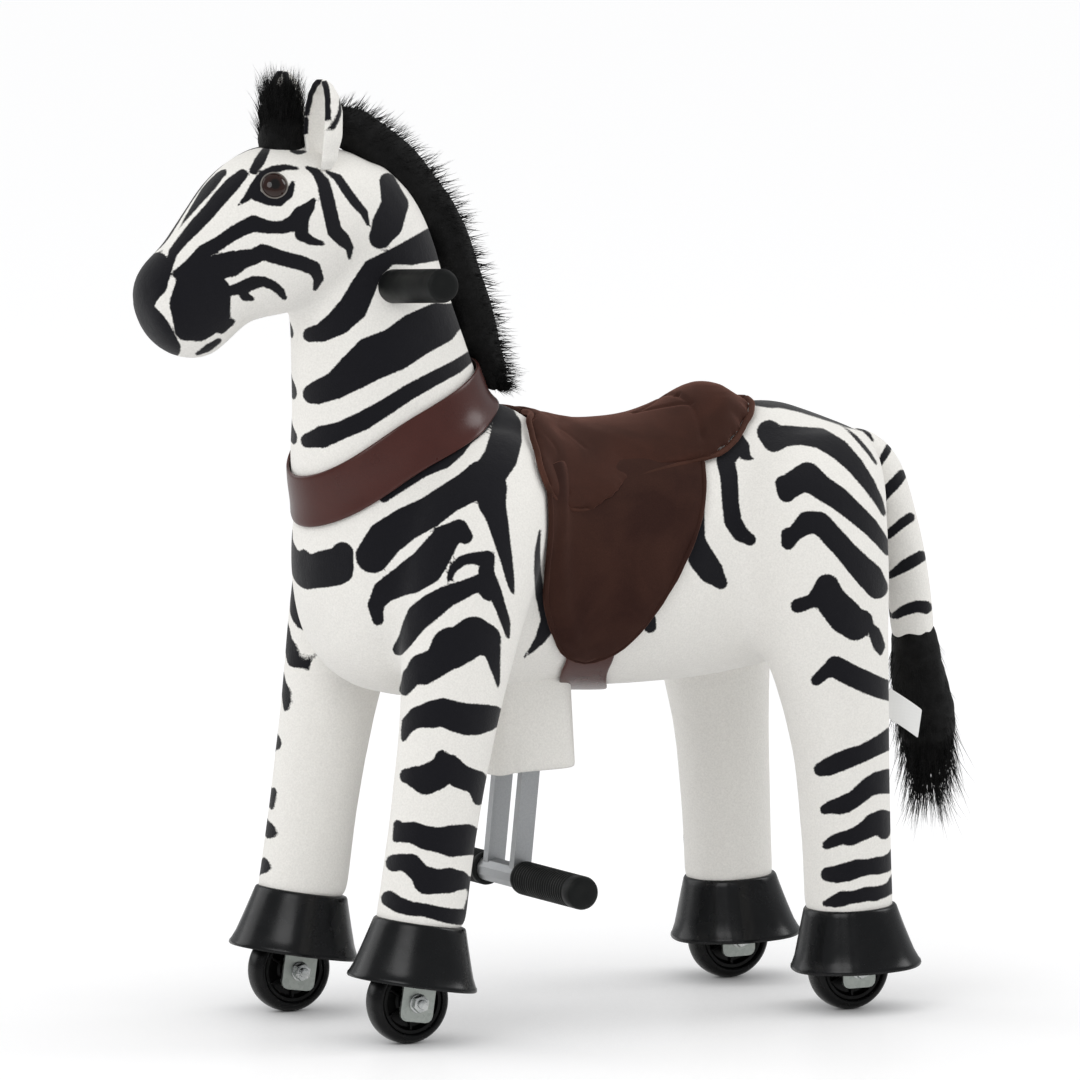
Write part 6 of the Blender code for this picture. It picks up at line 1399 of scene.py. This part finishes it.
EYE_GLASS = eye_glass("painted_glass_eye", "050404", "26120C", 0.42, 0.60, 0.06)
# The rim's light grey is partly the clear edge of the plastic and partly a painted glint of the lamps on it.
EYE_RIM_EDGE_AND_PAINTED_GLINT = moulded("eye_rim_edge_and_painted_glint_grey", "77736F", 0.3, 0.8, 0.03)
HEAD_SKIN = surface_of(head)
DOME = [(0.0, 5.0), (2.9, 4.8), (5.6, 4.1), (8.0, 2.9), (9.6, 1.4), (10.3, 0.0), (10.3, -5.0), (0.0, -5.0)]
RIM = [(10.0, -4.0), (11.3, -4.0), (11.5, 0.0), (11.2, 0.8), (10.8, 0.9), (10.2, 0.5)]
for side, sign in (("left", 1), ("right", -1)):
    seen_at, away_at = off_stencil(-59, 686, 300), off_stencil(-59, 686, 0)
    heading = (away_at - seen_at).normalized()
    spot, normal = HEAD_SKIN[0].ray_cast(seen_at, heading)[:2]
    normal = (normal + Vector((0.35, -0.10, 0.0))).normalized()
    spot, normal = Vector((spot.x * sign, spot.y, spot.z)), Vector((normal.x * sign, normal.y, normal.z))
    place = Matrix.Translation(spot + normal * 0.0002) @ normal.to_track_quat("Z", "Y").to_matrix().to_4x4()
    ball = turned(DOME, 40)
    layer = ball.verts.layers.float.new("ring")
    for vert in ball.verts:
        vert[layer] = math.hypot(vert.co.x, vert.co.y) * 1000 / 10.3
    eye = placed(ball, place, f"eye_dome_{side}", EYE_GLASS, 50)
    rim = placed(turned(RIM, 40), place, f"eye_rim_{side}", EYE_RIM_EDGE_AND_PAINTED_GLINT, 60)
    for piece in (eye, rim):
        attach(piece, "steering")
    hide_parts(f"eye_{side}")
print("ears and eyes")

# %% [markdown]
# ## Black fur
# The forelock, the mane and the tail's tuft are long-pile fur on a backing. A dark, lumpy core stands for the
# dense lower part of the pile, and thin tapered strands that grow out of it stand for the long hairs. A few
# thousand curves with a bevel, joined in one object and turned into a mesh, are quick to build and light.

# %% Fur finish
def fur(name, root, tip):
    """Long acrylic pile: near black, a little lighter on some hairs, with a soft gloss along them."""
    made = new_material(name)
    tree = made.node_tree
    spot = node(tree, "ShaderNodeTexCoord").outputs["Object"]
    lock = node(tree, "ShaderNodeTexNoise", {"Vector": spot, "Scale": 1000 / 6, "Detail": 3.0}).outputs["Fac"]
    hair = node(tree, "ShaderNodeTexNoise", {"Vector": spot, "Scale": 1000 / 0.9, "Detail": 2.0}).outputs["Fac"]
    share = node(tree, "ShaderNodeMapRange", {"Value": lock, "From Min": 0.42, "From Max": 0.75}).outputs[0]
    toned = node(tree, "ShaderNodeMix", {0: share, 6: linear(root), 7: linear(tip)}, data_type="RGBA").outputs[2]
    relief = node(tree, "ShaderNodeBump", {"Height": hair, "Strength": 0.8, "Distance": 0.001}).outputs[0]
    skin = node(tree, "ShaderNodeBsdfPrincipled", {
        "Base Color": toned, "Roughness": 0.62, "Specular IOR Level": 0.16, "Sheen Weight": 0.02,
        "Sheen Roughness": 0.5, "Normal": relief,
    })
    node(tree, "ShaderNodeOutputMaterial", {"Surface": skin.outputs[0]})
    return made


FUR = fur("black_long_pile", "060606", "121213")


def furry(name, rows, around, grow, count, length_mm, seed, stray_by=0.14, radius_mm=0.34, lumps_mm=2.5):
    """A lumpy core through rows, with strands. grow(point, out, share) gives a strand's heading and length factor."""
    core = limb(rows, 30, around)
    for vert in core.verts:
        lump = noise.noise(vert.co * 90) + 0.6 * noise.noise(vert.co * 260)
        vert.co += vert.normal * lump * lumps_mm / 1000
    core = piece_from(core, f"{name}_pile")
    finer = core.modifiers.new("finer", "SUBSURF")
    finer.levels = finer.render_levels = 1
    settle(core)
    core.data.materials.append(FUR)
    rng = random.Random(seed)
    path = smooth_rows(rows, 60)
    curve = bpy.data.curves.new(f"{name}_strands", "CURVE")
    curve.dimensions, curve.bevel_depth, curve.bevel_resolution = "3D", radius_mm / 1000, 0
    for _ in range(count):
        share = rng.random()
        place = share * (len(path) - 1)
        i = min(int(place), len(path) - 2)
        t = place - i
        back, height, side, half_width, half_depth = (a + (b - a) * t for a, b in zip(path[i], path[i + 1]))
        along = (at(path[i + 1][0], path[i + 1][1]) - at(path[i][0], path[i][1])).normalized()
        up = along.cross(Vector((1, 0, 0)))
        turn = rng.uniform(0, math.tau)
        out = Vector((1, 0, 0)) * math.cos(turn) + up * math.sin(turn)
        rim = Vector((1, 0, 0)) * math.cos(turn) * half_width + up * math.sin(turn) * half_depth
        start = at(back, height) + rim * 0.00082
        heading, factor = grow(start, out, share)
        if factor <= 0:
            continue
        stray = Vector((rng.gauss(0, stray_by), rng.gauss(0, stray_by), rng.gauss(0, stray_by)))
        heading = (heading.normalized() + stray).normalized()
        bend = Vector((rng.gauss(0, 0.18), rng.gauss(0, 0.18), rng.gauss(0, 0.18) - 0.10))
        reach = length_mm / 1000 * factor * rng.uniform(0.62, 1.12)
        spline = curve.splines.new("POLY")
        spline.points.add(4)
        for k, point in enumerate(spline.points):
            s = k / 4
            point.co = (*(start + heading * reach * s + bend * reach * s * s * 0.55), 1.0)
            point.radius = 1.0 - 0.93 * s ** 1.3
    drawn = bpy.data.objects.new(f"{name}_strands", curve)
    scene.collection.objects.link(drawn)
    mesh = bpy.data.meshes.new_from_object(drawn.evaluated_get(bpy.context.evaluated_depsgraph_get()))
    bpy.data.objects.remove(drawn)
    strands = bpy.data.objects.new(f"{name}_strands", mesh)
    scene.collection.objects.link(strands)
    mesh.materials.clear()
    mesh.materials.append(FUR)
    print(name, "strands:", len(mesh.polygons), "faces")
    return core, strands


# %% Mane
MANE = [
    (-26, 738, 0, 5, 7), (-14, 744, 0, 12, 14), (6, 738, 0, 15, 18), (35, 717, 0, 16, 19), (65, 688, 0, 16, 18),
    (89, 651, 0, 16, 17),
    (106, 611, 0, 16, 17), (119, 568, 0, 15, 17), (128, 541, 0, 13, 15), (135, 525, 0, 8, 10), (138, 517, 0, 3, 4),
]


def mane_grow(start, out, share):
    """Strands stand on the crest and lean down the neck. None grow towards the neck."""
    crest = Vector((0, 0.80, 0.60)).lerp(Vector((0, 0.97, 0.24)), share)
    facing = out.dot(crest)
    if facing < -0.35:
        return crest, 0
    lean = Vector((0, 0.55, -0.75)) * (0.10 + 0.55 * share)
    return out * 0.75 + crest * 0.55 + lean, 0.55 + 0.45 * max(facing, 0)


# %% Forelock
FORELOCK = [(-57, 706, 0, 16, 15), (-58, 716, 0, 18, 18), (-60, 728, 0, 18, 19), (-61, 742, 0, 18, 18),
    (-61, 753, 0, 15, 15), (-61, 758, 0, 7, 7)]


def forelock_grow(start, out, share):
    return Vector((out.x * 0.14, out.y * 0.12, 1.0)), 0.7 + 0.4 * share


# %% Tuft
TUFT = [(527, 296, 0, 17, 17), (529, 280, 0, 21, 20), (533, 255, 0, 23, 22), (538, 230, 0, 25, 24),
    (541, 206, 0, 23, 22), (542, 186, 0, 14, 15), (542, 174, 0, 5, 6)]


def tuft_grow(start, out, share):
    return Vector((out.x * 0.15, out.y * 0.16 + 0.05, -1.0)), 0.6 + 0.5 * share


FURS = (
    ("mane_fur", MANE, mane_grow, 3400, 19, 11, 0.14, "mane", "steering"),
    ("forelock_fur", FORELOCK, forelock_grow, 2700, 34, 23, 0.09, "forelock", "steering"),
    ("tail_tuft_fur", TUFT, tuft_grow, 1800, 44, 37, 0.10, "tail_tuft", "chassis"),
)
for name, rows, grow, count, length_mm, seed, stray_by, replaced, body_name in FURS:
    core, strands = furry(name, rows, 22, grow, count, length_mm, seed, stray_by)
    for piece in (core, strands):
        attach(piece, body_name)
    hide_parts(replaced)

# %% [markdown]
# ## Tail and tag
# The tail is a tube of striped plush that tapers a little down to its tuft. A bare white woven label is sewn into
# the seam at the back of the left hind leg.

# %% Tail
TAIL = [
    (450, 450, 0, 12, 10), (468, 451, 0, 16, 14), (485, 443, 0, 18, 16), (498, 424, 0, 18, 18),
    (509, 391, 0, 18, 18), (517, 360, 0, 18, 18),
    (523, 326, 0, 18, 18), (527, 291, 0, 17, 17), (528, 280, 0, 11, 11),
]
tail = piece_from(limb(TAIL, 44, 40), "tail_skin")
finer = tail.modifiers.new("finer", "SUBSURF")
finer.levels = finer.render_levels = 1
settle(tail)
spray(tail, ("tail",))
tail.data.materials.append(PLUSH)
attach(tail, "chassis")
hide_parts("tail")

# %% Tag
def woven(name, colour, thread_mm=0.6):
    """A woven polyester label: plain weave, satin white."""
    made = new_material(name)
    tree = made.node_tree
    spot = node(tree, "ShaderNodeTexCoord").outputs["Object"]
    weft = node(tree, "ShaderNodeTexWave", {"Vector": spot, "Scale": 1000 / thread_mm / 6.28},
        bands_direction="Z").outputs["Fac"]
    warp = node(tree, "ShaderNodeTexWave", {"Vector": spot, "Scale": 1000 / thread_mm / 6.28},
        bands_direction="Y").outputs["Fac"]
    weave = node(tree, "ShaderNodeMath", {0: weft, 1: warp}, operation="MULTIPLY").outputs[0]
    shade = node(tree, "ShaderNodeMapRange", {"Value": weave, "To Min": 0.9, "To Max": 1.0}).outputs[0]
    toned = node(tree, "ShaderNodeMix", {0: 1.0, 6: linear(colour), 7: shade}, data_type="RGBA",
        blend_type="MULTIPLY").outputs[2]
    relief = node(tree, "ShaderNodeBump", {"Height": weave, "Strength": 0.3, "Distance": 0.0002}).outputs[0]
    skin = node(tree, "ShaderNodeBsdfPrincipled", {"Base Color": toned, "Roughness": 0.5, "Sheen Weight": 0.2,
        "Normal": relief})
    node(tree, "ShaderNodeOutputMaterial", {"Surface": skin.outputs[0]})
    return made


LABEL = woven("woven_satin_label", "F1F1F0")


def tag_point(across, down):
    reach = across * 34
    curl = 3.5 * math.sin(across * 2.6)
    return at(448 + reach * 0.86 - down * 5, 263 - reach * 0.58 - down * 23, 104 + curl + 2.0 * down)


tag = thick_sheet(sheet_grid(16, 12, tag_point), "sewn_label", 0.5, LABEL)
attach(tag, "chassis")
print("tail and label")
